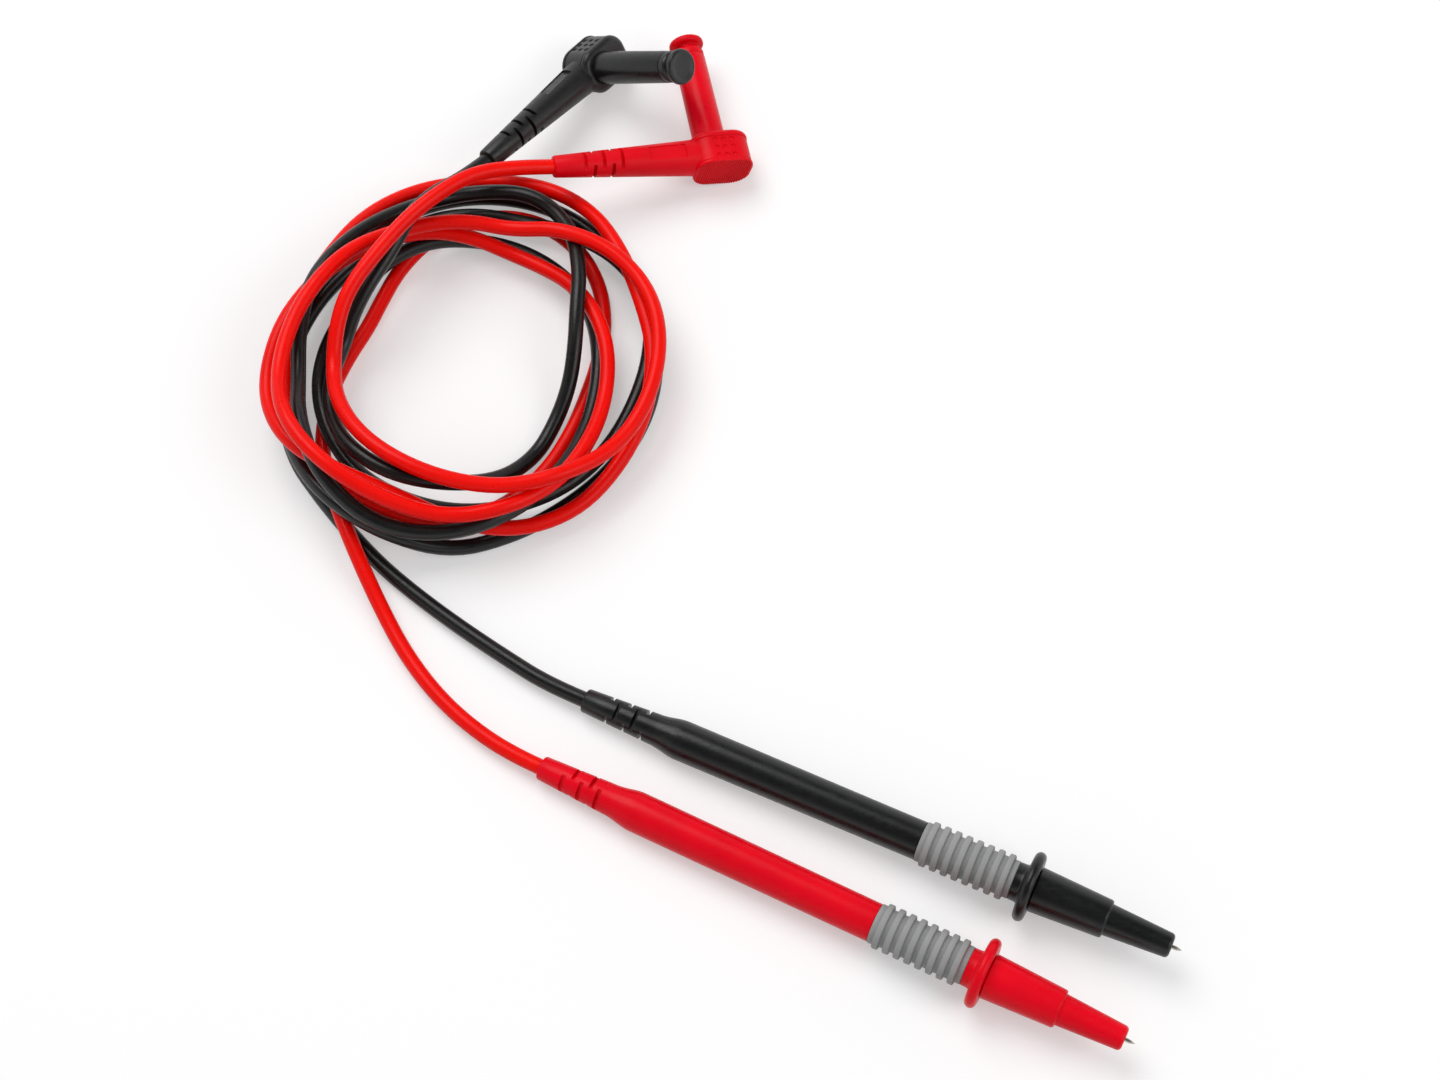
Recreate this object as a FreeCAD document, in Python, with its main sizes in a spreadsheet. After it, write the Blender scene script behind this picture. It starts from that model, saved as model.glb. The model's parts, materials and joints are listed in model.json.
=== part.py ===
import FreeCAD
import Part
import math
import os
import Sketcher
from FreeCAD import Placement, Rotation, Vector

# A pair of test leads, red and black. Each has a hand probe with a ribbed grip, a finger guard and a
# pull-off tip cover, a coiled cable, and a right-angle shrouded banana plug with its transport cap.
# Millimetres. The floor is z = 0, and the origin is under the middle of the two probes' box.

doc = FreeCAD.newDocument("test_leads")

# Driving dimensions. Places along the probe are measured from the rear face of its strain relief,
# and places along the plug's arm and shroud from the point where their axes cross.
SIZES = {
    "cable_r": 1.95, "wire_r": 0.9,
    "relief_end": 19.2, "relief_rear_r": 2.95, "relief_front_r": 3.85,
    "flare_low": 20.6, "flare_low_r": 4.0, "flare_mid": 22.0, "flare_mid_r": 4.4,
    "flare_high": 23.3, "flare_high_r": 4.75, "flare_end": 24.6, "barrel_rear_r": 4.85,
    "barrel_end": 87.1, "barrel_front_r": 4.65,
    "slot_w": 1.05, "slot_first": 6.6, "slot_pitch": 4.7, "slot_second": 8.95, "web_half": 2.2,
    "cavity_start": 36.0, "cavity_r": 3.25,
    "ferrule_start": 60.0, "ferrule_end": 71.0, "ferrule_r": 1.7, "ferrule_mid": 66.0, "crimp_depth": 0.35,
    "tail_start": 75.0, "spindle_r": 3.7, "sleeve_end": 110.3,
    "collar_r": 4.8, "rib_start": 88.4, "rib_w": 1.6, "rib_r": 5.5, "rib_pitch": 2.7, "groove_w": 1.1,
    "groove_depth": 0.9, "sleeve_lip": 1.4,
    "neck_r": 4.55, "guard_start": 112.7, "guard_end": 115.4, "guard_r": 8.5, "guard_round": 1.25,
    "spigot_r": 3.4, "spigot_end": 128.8, "spigot_chamfer": 0.6,
    "needle_r": 1.0, "needle_step": 145.2, "needle_thin": 146.9, "needle_thin_r": 0.5,
    "needle_taper": 150.0, "needle_end": 151.2, "needle_point_r": 0.08,
    "cover_gap": 0.08, "cover_rear_r": 5.4, "cover_shoulder": 133.2, "cover_front_r": 4.6, "cover_round": 0.5,
    "cover_floor": 129.8, "nose_rear_r": 3.8, "nose_end": 148.8, "nose_front_r": 2.95,
    "nose_chamfer": 0.7, "needle_hole_r": 1.15, "tip_hole_r": 0.62,
    "arm_start": -43.4, "arm_rear_r": 2.85, "arm_mid": -23.9, "arm_mid_r": 3.83, "arm_end": -5.4,
    "arm_front_r": 4.75, "arm_slot_w": 0.95, "arm_slot_first": -35.4, "arm_slot_pitch": 4.9,
    "arm_slot_second": -32.95, "arm_web_half": 1.85,
    "flat_start": -18.4, "flat_length": 10.1, "flat_w": 3.7,
    "head_r": 6.1, "head_run": 3.5, "head_depth": 9.9, "head_round": 1.4,
    "dimple_r": 0.5, "dimple_depth": 0.3, "dimple_gap_u": 2.1, "dimple_gap_w": 2.3,
    "jacket_end": -9.0, "tail_r": 1.5, "tail_end": -2.2,
    "shroud_seat": 2.6, "shroud_floor": 7.0, "shroud_end": 29.95, "shroud_root_r": 4.35, "shroud_tip_r": 4.1,
    "shroud_bore_r": 3.45,
    "pin_flange_end": 8.0, "pin_flange_r": 3.0, "pin_collar_end": 10.2, "pin_r": 2.0,
    "pin_waist_end": 21.6, "pin_waist_r": 1.45, "pin_end": 28.0, "pin_round": 1.2,
    "spring_start": 10.6, "spring_end": 21.2, "spring_wall": 0.3, "spring_bulge": 0.65, "spring_slot_w": 0.5,
    "cap_stem_start": 22.9, "cap_stem_outer_r": 3.38, "cap_stem_inner_r": 2.75, "cap_seat": 30.0,
    "cap_shoulder_r": 4.05, "cap_shoulder_end": 32.4, "cap_neck_r": 3.0, "cap_disc_start": 33.3,
    "cap_disc_r": 4.6, "cap_disc_end": 35.2, "cap_dish": 0.4, "cap_round": 0.7,
}

sheet = doc.addObject("Spreadsheet::Sheet", "Sizes")
for row, (name, number) in enumerate(SIZES.items(), start=1):
    sheet.set(f"A{row}", name)
    sheet.set(f"B{row}", str(number))
    sheet.setAlias(f"B{row}", name)
doc.recompute()


def size(name):
    return float(getattr(sheet, name))


def sign_and_name(word):
    return (-1, word[1:]) if word.startswith("-") else (1, word)


def total(words):
    """The sum of the sizes named in a text, such as "barrel_end -rib_pitch"; "0" is nothing."""
    return sum(sign * size(name) for sign, name in map(sign_and_name, words.split()) if name != "0")


def formula(words):
    """The same sum as an expression on the sheet."""
    return " + ".join(f"{sign} * Sizes.{name}" for sign, name in map(sign_and_name, words.split()))


# Sketches, revolved shapes and pockets

def new_body(label):
    body = doc.addObject("PartDesign::Body", label)
    body.Label = label
    return body


def new_sketch(body, name, plane, offset=None):
    """An empty sketch on one of the body's own origin planes, moved or turned by offset."""
    sketch = body.newObject("Sketcher::SketchObject", name)
    face = next(f for f in body.Origin.OriginFeatures if f.Role == plane)
    sketch.AttachmentSupport = [(face, "")]
    sketch.MapMode = "FlatFace"
    if offset:
        sketch.AttachmentOffset = offset
    return sketch


def hold(sketch, line, words, kind):
    """Holds a line's first point at a distance from the origin that the sheet gives."""
    if words == "0":
        axis = -2 if kind == "DistanceX" else -1
        sketch.addConstraint(Sketcher.Constraint("PointOnObject", line, 1, axis))
        return
    number = sketch.addConstraint(Sketcher.Constraint(kind, -1, 1, line, 1, total(words)))
    sketch.setExpression(f"Constraints[{number}]", formula(words))


def polygon(sketch, corners):
    """A closed outline through corners, each a pair of texts that name sizes."""
    spots = [Vector(total(across), total(up), 0) for across, up in corners]
    lines = [sketch.addGeometry(Part.LineSegment(a, b), False) for a, b in zip(spots, spots[1:] + spots[:1])]
    for line, following in zip(lines, lines[1:] + lines[:1]):
        sketch.addConstraint(Sketcher.Constraint("Coincident", line, 2, following, 1))
    for line, (across, up) in zip(lines, corners):
        hold(sketch, line, across, "DistanceX")
        hold(sketch, line, up, "DistanceY")


def turned(body, name, corners, kind="PartDesign::Revolution", axis="H_Axis"):
    """A sketch turned once round, to add a shape or, as a groove, to cut one."""
    sketch = new_sketch(body, name + "_profile", "XY_Plane")
    polygon(sketch, corners)
    feature = body.newObject(kind, name)
    feature.Profile = sketch
    feature.ReferenceAxis = (sketch, [axis])
    feature.Angle = 360
    doc.recompute()
    return feature


def rounded(body, name, radius, places, kind="PartDesign::Fillet"):
    """Rounds the circular edges that lie at the given pairs of place along X and radius."""
    feature_below = body.Tip
    edges = [
        f"Edge{number}"
        for number, edge in enumerate(feature_below.Shape.Edges, start=1)
        if isinstance(edge.Curve, Part.Circle) and any(
            abs(edge.Curve.Center.x - total(place)) < 0.02 and abs(edge.Curve.Radius - total(r)) < 0.02
            for place, r in places)
    ]
    fillet = body.newObject(kind, name)
    fillet.Base = (feature_below, edges)
    fillet.setExpression("Radius", formula(radius))
    doc.recompute()


def repeat(body, feature, name, pitch, count):
    """Copies of a cut along X, from the first to the last."""
    pattern = body.newObject("PartDesign::LinearPattern", name)
    pattern.Originals = [feature]
    pattern.Direction = (feature.Profile[0], ["H_Axis"])
    pattern.Length = total(pitch) * (count - 1)
    pattern.Occurrences = count
    body.Tip = pattern
    doc.recompute()


def relief_slots(body, name, plane, first, width, pitch, count, web, roll=0):
    """Pairs of slots cut through a strain relief from both sides, down to two webs."""
    reach = 9
    half = total(width) / 2
    sketch = new_sketch(body, name + "_outline", plane, Placement(Vector(), Rotation(Vector(1, 0, 0), roll)))
    for side in (1, -1):
        start = side * total(web)
        near, far = Vector(total(first) - half, start, 0), Vector(total(first) + half, side * reach, 0)
        spots = [near, Vector(far.x, near.y, 0), far, Vector(near.x, far.y, 0)]
        for a, b in zip(spots, spots[1:] + spots[:1]):
            sketch.addGeometry(Part.LineSegment(a, b), False)
    pocket = body.newObject("PartDesign::Pocket", name)
    pocket.Profile = sketch
    pocket.Midplane = True
    pocket.Length = 2 * reach
    doc.recompute()
    repeat(body, pocket, name + "_row", pitch, count)


# The hand probe

def make_handle(label, roll):
    """Barrel and strain relief in one moulding, bored for the cable and hollow further in."""
    body = new_body(label)
    turned(body, label + "_shell", [
        ("0", "cable_r"), ("0", "relief_rear_r"), ("relief_end", "relief_front_r"),
        ("flare_low", "flare_low_r"), ("flare_mid", "flare_mid_r"), ("flare_high", "flare_high_r"),
        ("flare_end", "barrel_rear_r"), ("barrel_end", "barrel_front_r"),
        ("barrel_end", "cavity_r"), ("cavity_start", "cavity_r"), ("cavity_start", "cable_r"),
    ])
    relief_slots(body, label + "_side_slots", "XY_Plane", "slot_first", "slot_w", "slot_pitch", 3, "web_half", roll)
    relief_slots(body, label + "_top_slots", "XZ_Plane", "slot_second", "slot_w", "slot_pitch", 2, "web_half", roll)
    return body


def make_grip_sleeve(label):
    """Soft tube with a plain collar, eight ribs and a smaller plain lip."""
    body = new_body(label)
    turned(body, label + "_tube", [
        ("barrel_end", "spindle_r"), ("barrel_end", "collar_r"), ("rib_start", "collar_r"),
        ("rib_start", "rib_r"), ("sleeve_end -sleeve_lip", "rib_r"),
        ("sleeve_end -sleeve_lip", "rib_r -groove_depth"), ("sleeve_end", "rib_r -groove_depth"),
        ("sleeve_end", "spindle_r"),
    ])
    groove = turned(body, label + "_groove", [
        ("rib_start rib_w", "rib_r -groove_depth"), ("rib_start rib_w", "rib_r groove_w"),
        ("rib_start rib_w groove_w", "rib_r groove_w"), ("rib_start rib_w groove_w", "rib_r -groove_depth"),
    ], "PartDesign::Groove")
    repeat(body, groove, label + "_ribs", "rib_pitch", 7)
    return body


def make_front_body(label):
    """Tail in the barrel, spindle under the grip, neck, finger guard and spigot, bored for the needle."""
    body = new_body(label)
    turned(body, label + "_core", [
        ("tail_start", "needle_r"), ("tail_start", "cavity_r"), ("barrel_end", "cavity_r"),
        ("barrel_end", "spindle_r"), ("sleeve_end", "spindle_r"), ("sleeve_end", "neck_r"),
        ("guard_start", "neck_r"), ("guard_start", "guard_r"), ("guard_end", "guard_r"),
        ("guard_end", "spigot_r"), ("spigot_end -spigot_chamfer", "spigot_r"),
        ("spigot_end", "spigot_r -spigot_chamfer"), ("spigot_end", "needle_r"),
    ])
    rounded(body, label + "_rim", "guard_round", [("guard_start", "guard_r"), ("guard_end", "guard_r")])
    return body


def make_tip_cover(label):
    """Pull-off cover: a wide rear part over the spigot and a slim nose over the needle."""
    body = new_body(label)
    turned(body, label + "_shell", [
        ("guard_end cover_gap", "spigot_r cover_gap"), ("guard_end cover_gap", "cover_rear_r"),
        ("cover_shoulder", "cover_front_r"), ("cover_shoulder", "nose_rear_r"),
        ("nose_end -nose_chamfer", "nose_front_r"), ("nose_end", "nose_front_r -nose_chamfer"),
        ("nose_end", "tip_hole_r"), ("needle_thin", "tip_hole_r"), ("needle_thin", "needle_hole_r"),
        ("cover_floor", "needle_hole_r"), ("cover_floor", "spigot_r cover_gap"),
    ])
    rounded(body, label + "_edges", "cover_round", [("cover_shoulder", "cover_front_r")])
    return body


def make_needle(label):
    """Steel needle, stepped down near its point."""
    body = new_body(label)
    turned(body, label + "_rod", [
        ("ferrule_mid", "0"), ("ferrule_mid", "needle_r"), ("needle_step", "needle_r"),
        ("needle_thin", "needle_thin_r"), ("needle_taper", "needle_thin_r"),
        ("needle_end", "needle_point_r"), ("needle_end", "0"),
    ])
    return body


def make_ferrule(label):
    """Crimped sleeve that joins the wire, from behind, to the needle."""
    body = new_body(label)
    turned(body, label + "_sleeve", [
        ("ferrule_start", "wire_r"), ("ferrule_start", "ferrule_r"), ("ferrule_end", "ferrule_r"),
        ("ferrule_end", "needle_r"), ("ferrule_mid", "needle_r"), ("ferrule_mid", "wire_r"),
    ])
    crimp = turned(body, label + "_crimp", [
        ("ferrule_start slot_w", "ferrule_r -crimp_depth"), ("ferrule_start slot_w", "ferrule_r crimp_depth"),
        ("ferrule_start slot_w slot_w", "ferrule_r crimp_depth"),
        ("ferrule_start slot_w slot_w", "ferrule_r -crimp_depth"),
    ], "PartDesign::Groove")
    repeat(body, crimp, label + "_crimps", "rib_pitch", 4)
    return body


def make_cable_end(label, start, jacket_end, wire_end):
    """End of a cable with its jacket stripped back to the wire."""
    body = new_body(label)
    turned(body, label + "_core", [
        (start, "0"), (start, "cable_r"), (jacket_end, "cable_r"), (jacket_end, "wire_r"),
        (wire_end, "wire_r"), (wire_end, "0"),
    ])
    return body


# The right-angle plug. X runs along the arm to the head, Y along the shroud.

def make_plug_body(label):
    """Soft moulding: tapered arm with slotted relief, and a head with a press pad."""
    body = new_body(label)
    turned(body, label + "_arm", [
        ("arm_start", "0"), ("arm_start", "arm_rear_r"), ("arm_mid", "arm_mid_r"),
        ("arm_end", "arm_front_r"), ("head_run", "arm_front_r"), ("head_run", "0"),
    ])
    add_head(body, label)
    add_flats(body, label)
    relief_slots(body, label + "_flat_slots", "XZ_Plane", "arm_slot_first", "arm_slot_w", "arm_slot_pitch", 3,
                 "arm_web_half")
    relief_slots(body, label + "_side_slots", "XY_Plane", "arm_slot_second", "arm_slot_w", "arm_slot_pitch", 2,
                 "arm_web_half")
    add_dimples(body, label)
    turned(body, label + "_cable_bore", [
        ("arm_start", "0"), ("arm_start", "cable_r"), ("jacket_end", "cable_r"), ("jacket_end", "wire_r"),
        ("-tail_r", "wire_r"), ("-tail_r", "0"),
    ], "PartDesign::Groove")
    turned(body, label + "_pin_bore", [
        ("0", "tail_end"), ("tail_r", "tail_end"), ("tail_r", "shroud_seat"), ("shroud_root_r", "shroud_seat"),
        ("shroud_root_r", "head_depth"), ("0", "head_depth"),
    ], "PartDesign::Groove", "V_Axis")
    return body


def add_head(body, label):
    """The head is a stadium, drawn from two half circles, padded both ways and rounded."""
    radius, run = size("head_r"), size("head_run")
    sketch = new_sketch(body, label + "_head_outline", "XZ_Plane")
    quarter = math.pi / 2
    up = Vector(0, 0, 1)
    sketch.addGeometry(Part.ArcOfCircle(Part.Circle(Vector(run, 0, 0), up, radius), -quarter, quarter), False)
    sketch.addGeometry(Part.LineSegment(Vector(run, radius, 0), Vector(0, radius, 0)), False)
    sketch.addGeometry(Part.ArcOfCircle(Part.Circle(Vector(), up, radius), quarter, 3 * quarter), False)
    sketch.addGeometry(Part.LineSegment(Vector(0, -radius, 0), Vector(run, -radius, 0)), False)
    for first, second in ((0, 1), (1, 2), (2, 3), (3, 0)):
        sketch.addConstraint(Sketcher.Constraint("Coincident", first, 2, second, 1))
    head = body.newObject("PartDesign::Pad", label + "_head")
    head.Profile = sketch
    head.Midplane = True
    head.setExpression("Length", formula("head_depth"))
    doc.recompute()
    rim = [
        f"Edge{number}"
        for number, edge in enumerate(head.Shape.Edges, start=1)
        if abs(abs(edge.BoundBox.YMin) - size("head_depth") / 2) < 0.01 and edge.BoundBox.YLength < 0.01
    ]
    fillet = body.newObject("PartDesign::Fillet", label + "_head_round")
    fillet.Base = (head, rim)
    fillet.setExpression("Radius", formula("head_round"))
    doc.recompute()


def add_flats(body, label):
    """Two flats on the arm, opposite each other, that follow its taper."""
    middle = total("flat_start") + size("flat_length") / 2
    slope = math.atan2(size("arm_front_r") - size("arm_mid_r"), size("arm_end") - size("arm_mid"))
    radius = size("arm_mid_r") + (middle - size("arm_mid")) * math.tan(slope)
    half_length, half_width = size("flat_length") / 2, size("flat_w") / 2
    height = math.sqrt(radius ** 2 - half_width ** 2)
    lean = Rotation(Vector(0, 1, 0), -math.degrees(slope))
    for number, roll in enumerate((0, 180)):
        turn = Rotation(Vector(1, 0, 0), roll)
        spot = turn.multVec(Vector(middle, 0, height))
        sketch = new_sketch(body, f"{label}_flat_outline_{number}", "XY_Plane", Placement(spot, turn * lean))
        corners = [(-half_length, -half_width), (half_length, -half_width), (half_length, half_width),
                   (-half_length, half_width)]
        spots = [Vector(across, up, 0) for across, up in corners]
        for a, b in zip(spots, spots[1:] + spots[:1]):
            sketch.addGeometry(Part.LineSegment(a, b), False)
        pocket = body.newObject("PartDesign::Pocket", f"{label}_flat_{number}")
        pocket.Profile = sketch
        pocket.Reversed = True
        pocket.Length = radius
        doc.recompute()


def add_dimples(body, label):
    """Three rows of three grip dimples on each flat side of the head."""
    for number, side in enumerate((1, -1)):
        offset = Placement(Vector(0, 0, side * size("head_r")), Rotation())
        sketch = new_sketch(body, f"{label}_dimple_outline_{number}", "XY_Plane", offset)
        for along in (-1, 0, 1):
            for across in (-1, 0, 1):
                spot = Vector(
                    size("head_run") / 2 + along * size("dimple_gap_u"), across * size("dimple_gap_w"), 0)
                sketch.addGeometry(Part.Circle(spot, Vector(0, 0, 1), size("dimple_r")), False)
        pocket = body.newObject("PartDesign::Pocket", f"{label}_dimples_{number}")
        pocket.Profile = sketch
        pocket.Reversed = side < 0
        pocket.setExpression("Length", formula("dimple_depth"))
        doc.recompute()


def make_shroud(label):
    """Hard tube round the pin, seated in the head."""
    body = new_body(label)
    turned(body, label + "_tube", [
        ("shroud_seat", "tail_r"), ("shroud_seat", "shroud_root_r"), ("shroud_end", "shroud_tip_r"),
        ("shroud_end", "shroud_bore_r"), ("shroud_floor", "shroud_bore_r"), ("shroud_floor", "tail_r"),
    ])
    return body


def make_pin(label):
    """Banana pin: solder tail, flange, collar, slim waist for the spring, and a rounded nose."""
    body = new_body(label)
    turned(body, label + "_core", [
        ("tail_end", "0"), ("tail_end", "tail_r"), ("shroud_floor", "tail_r"),
        ("shroud_floor", "pin_flange_r"), ("pin_flange_end", "pin_flange_r"), ("pin_flange_end", "pin_r"),
        ("pin_collar_end", "pin_r"), ("pin_collar_end", "pin_waist_r"), ("pin_waist_end", "pin_waist_r"),
        ("pin_waist_end", "pin_r"), ("pin_end", "pin_r"), ("pin_end", "0"),
    ])
    rounded(body, label + "_nose", "pin_round", [("pin_end", "pin_r")])
    return body


def make_spring(label):
    """Lantern spring: a thin sleeve, bulged at its middle and slotted into leaves."""
    body = new_body(label)
    third = (size("spring_end") - size("spring_start")) / 3
    sketch = new_sketch(body, label + "_profile", "XY_Plane")
    start, end, wall, bulge = (size(n) for n in ("spring_start", "spring_end", "spring_wall", "spring_bulge"))
    inner = size("pin_waist_r")
    low = [(start, inner), (start + third, inner + bulge - wall), (end - third, inner + bulge - wall), (end, inner)]
    high = [(along, r + wall) for along, r in reversed(low)]
    spots = [Vector(along, r, 0) for along, r in low + high]
    for a, b in zip(spots, spots[1:] + spots[:1]):
        sketch.addGeometry(Part.LineSegment(a, b), False)
    sleeve = body.newObject("PartDesign::Revolution", label + "_sleeve")
    sleeve.Profile = sketch
    sleeve.ReferenceAxis = (sketch, ["H_Axis"])
    sleeve.Angle = 360
    doc.recompute()
    half, edge = size("spring_slot_w") / 2, 1.0
    outline = new_sketch(body, label + "_slot_outline", "XY_Plane")
    corners = [(start + edge, -half), (end - edge, -half), (end - edge, half), (start + edge, half)]
    spots = [Vector(along, across, 0) for along, across in corners]
    for a, b in zip(spots, spots[1:] + spots[:1]):
        outline.addGeometry(Part.LineSegment(a, b), False)
    slot = body.newObject("PartDesign::Pocket", label + "_slot")
    slot.Profile = outline
    slot.Midplane = True
    slot.Length = 4 * inner
    doc.recompute()
    leaves = body.newObject("PartDesign::PolarPattern", label + "_leaves")
    leaves.Originals = [slot]
    leaves.Axis = (outline, ["H_Axis"])
    leaves.Occurrences = 3
    leaves.Angle = 120
    body.Tip = leaves
    doc.recompute()
    return body


def make_plug_cap(label):
    """Transport cap: hollow stem in the shroud, rounded shoulder, neck and dished disc."""
    body = new_body(label)
    turned(body, label + "_shell", [
        ("cap_stem_start", "cap_stem_inner_r"), ("cap_stem_start", "cap_stem_outer_r"),
        ("cap_seat", "cap_stem_outer_r"), ("cap_seat", "cap_shoulder_r"),
        ("cap_shoulder_end -cap_round", "cap_shoulder_r -cap_round"),
        ("cap_shoulder_end", "cap_neck_r"), ("cap_disc_start", "cap_neck_r"),
        ("cap_disc_start", "cap_disc_r"), ("cap_disc_end", "cap_disc_r"),
        ("cap_disc_end", "cap_disc_r -cap_round -cap_round"), ("cap_disc_end -cap_dish", "cap_neck_r"),
        ("cap_disc_end -cap_dish", "0"), ("cap_seat", "0"), ("cap_seat", "cap_stem_inner_r"),
    ])
    rounded(body, label + "_disc_edges", "cap_round",
            [("cap_disc_start", "cap_disc_r"), ("cap_disc_end", "cap_disc_r")])
    return body


# Cables. Each lead's route starts at the plug and ends at the probe. The two free stretches are
# lists of points chosen by hand. The coil between them is given by its radius at every quarter
# turn, and its strands get their heights from the order in which they were laid down.

GAP = 0.8
HUMP_R = 30.0
HUMP_REACH = 22.0
STATIONS = 20
FINE = 6
SIDES = 8
COIL_CENTRE = (-95.15, 133.9)
COIL_START = 160
COIL_END = 215

LEADS = {
    "black": {
        "probe_start": (-62.46, 40.71), "probe_yaw": -24.64, "slot_roll": 10,
        "plug_start": (-90.25, 184.7, 16.1),
        "plug_arm": (0.601, 0.778, -0.180), "plug_shroud": (0.696, -0.401, 0.595),
        "rear": [(-95.7, 177.7, 17.7), (-103.4, 171.9, 18.8), (-109.2, 164.9, 18.9), (-112.4, 157.0, 17.8)],
        "radii": [28.0, 44.5, 28.8, 48.5, 40.5, 52.0, 34.6, 34.8, 34.5, 39.0, 45.8, 41.0, 41.5, 55.0,
                  49.5, 49.6, 45.0, 54.0],
        "bulges": {10: 5.5, 13: -5.5},
        "laid_later": 0.0,
        "front": [(-130.4, 96.3, 1.95), (-122.2, 86.0, 1.95), (-113.3, 76.3, 1.95), (-103.1, 67.6, 1.95), (-92.2, 59.3, 2.2),
                  (-81.8, 51.9, 2.75), (-71.55, 44.9, 3.4)],
    },
    "red": {
        "probe_start": (-72.47, 23.69), "probe_yaw": -26.45, "slot_roll": -40,
        "plug_start": (-73.1, 181.8, 17.4),
        "plug_arm": (0.9475, 0.2190, -0.2330), "plug_shroud": (-0.198, 0.979, 0.059),
        "rear": [(-82.1, 179.7, 19.6), (-92.8, 176.2, 21.8), (-101.1, 169.8, 22.6), (-108.0, 163.0, 22.8),
                 (-113.8, 155.9, 22.3)],
        "radii": [29.0, 35.6, 48.5, 36.5, 42.7, 49.0, 50.0, 54.0, 43.5, 47.5, 38.4, 31.0, 37.5, 42.0,
                  33.0, 44.6, 27.0, 53.0],
        "bulges": {4: 6.0, 5: 4.0, 6: 1.0, 8: -5.0},
        "laid_later": 0.45,
        "front": [(-128.7, 102.6, 3.6), (-125.7, 93.6, 6.8), (-122.0, 84.4, 7.1), (-117.6, 74.6, 5.2),
                  (-112.3, 64.0, 2.7), (-106.2, 53.0, 1.95), (-97.95, 42.1, 2.2), (-88.85, 33.6, 2.75), (-79.3, 27.0, 3.5)],
    },
}


def coil_guides(lead):
    """Places of the coil's stations in plan: a smooth curve through its quarter-turn radii, and bulges."""
    radii, step = lead["radii"], STATIONS // 4
    last = COIL_END + 90 * (len(radii) - 2)
    guides = []
    for quarter, (here, there) in enumerate(zip(radii, radii[1:])):
        slope_in = (there - radii[max(quarter - 1, 0)]) / 2
        slope_out = (radii[min(quarter + 2, len(radii) - 1)] - here) / 2
        for part in range(step):
            t = part / step
            angle = COIL_START + 90 * (quarter + t)
            if angle > last:
                break
            radius = ((2 * t**3 - 3 * t**2 + 1) * here + (t**3 - 2 * t**2 + t) * slope_in
                      + (3 * t**2 - 2 * t**3) * there + (t**3 - t**2) * slope_out)
            radius += lead["bulges"].get(quarter, 0) * 16 * t**2 * (1 - t)**2
            turn = math.radians(angle)
            guides.append((COIL_CENTRE[0] + radius * math.cos(turn), COIL_CENTRE[1] + radius * math.sin(turn)))
    return guides


def smooth(points):
    """Fine points on a curve through the given ones."""
    ends = [points[0]] + points + [points[-1]]
    fine = []
    for a, b, c, d in zip(ends, ends[1:], ends[2:], ends[3:]):
        for part in range(FINE):
            t = part / FINE
            fine.append(tuple(
                0.5 * (2 * q + (r - p) * t + (2 * p - 5 * q + 4 * r - s) * t**2 + (3 * q - p - 3 * r + s) * t**3)
                for p, q, r, s in zip(a, b, c, d)))
    return fine + [points[-1]]


def crossings(samples, apart):
    """For every sample, the samples under it and how far above each of them it must pass."""
    under = [[] for _ in samples]
    for first, (x, y, _, lead, place, order) in enumerate(samples):
        for second in range(first + 1, len(samples)):
            other = samples[second]
            if lead == other[3] and other[4] - place < 4 * FINE:
                continue
            flat = (x - other[0])**2 + (y - other[1])**2
            if flat < apart**2:
                lift = math.sqrt(apart**2 - flat)
                upper, lower = (first, second) if order > other[5] else (second, first)
                under[upper].append((lower, lift))
    return under


def humps(samples):
    """For every sample, its neighbours along the strand and how much lower than each it may be."""
    rows = []
    for middle, sample in enumerate(samples):
        row = [(middle, 0.0)]
        for way in (-1, 1):
            place, run = middle, 0.0
            while 0 <= place + way < len(samples) and samples[place + way][3] == sample[3]:
                run += math.dist(samples[place][:2], samples[place + way][:2])
                place += way
                if run > HUMP_REACH:
                    break
                row.append((place, run**2 / (2 * HUMP_R)))
        rows.append(row)
    return rows


def lay(samples):
    """Heights: each strand lies on the floor or over the strands laid before it, in low humps."""
    under = crossings(samples, 2 * size("cable_r") + GAP)
    rows = humps(samples)
    heights = [sample[2] for sample in samples]
    for _ in range(60):
        need = [max([sample[2]] + [heights[low] + lift for low, lift in row])
                for sample, row in zip(samples, under)]
        raised = [max(need[place] - drop for place, drop in row) for row in rows]
        if max(abs(a - b) for a, b in zip(raised, heights)) < 0.01:
            break
        heights = raised
    return raised


def routes():
    """Fine points along each lead, in order, with their heights, and where its coil begins and ends."""
    samples, spans = [], {}
    floor = size("cable_r")
    for name, lead in LEADS.items():
        coil = [(x, y, floor) for x, y in coil_guides(lead)]
        rear = [lead["plug_start"]] + lead["rear"]
        front = lead["front"] + [lead["probe_start"] + (probe_height(0),)]
        fine = smooth(rear + coil + front)
        start = len(samples)
        for place, (x, y, height) in enumerate(fine):
            order = lead["laid_later"] - (place / FINE - len(rear)) / STATIONS
            samples.append((x, y, max(height, floor), name, place, order))
        spans[name] = (start, start + len(fine), FINE * len(rear), FINE * (len(rear) + len(coil) - 1))
    heights = lay(samples)
    found = {}
    for name, (start, end, coil_start, coil_end) in spans.items():
        fine = [Vector(x, y, z) for (x, y, *_), z in zip(samples[start:end], heights[start:end])]
        found[name] = (fine, coil_start, coil_end)
        print(name, "rear heights", [round(fine[k].z, 1) for k in range(0, coil_start + 1, FINE)],
              "top", round(max(p.z for p in fine), 1))
    return found


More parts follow.
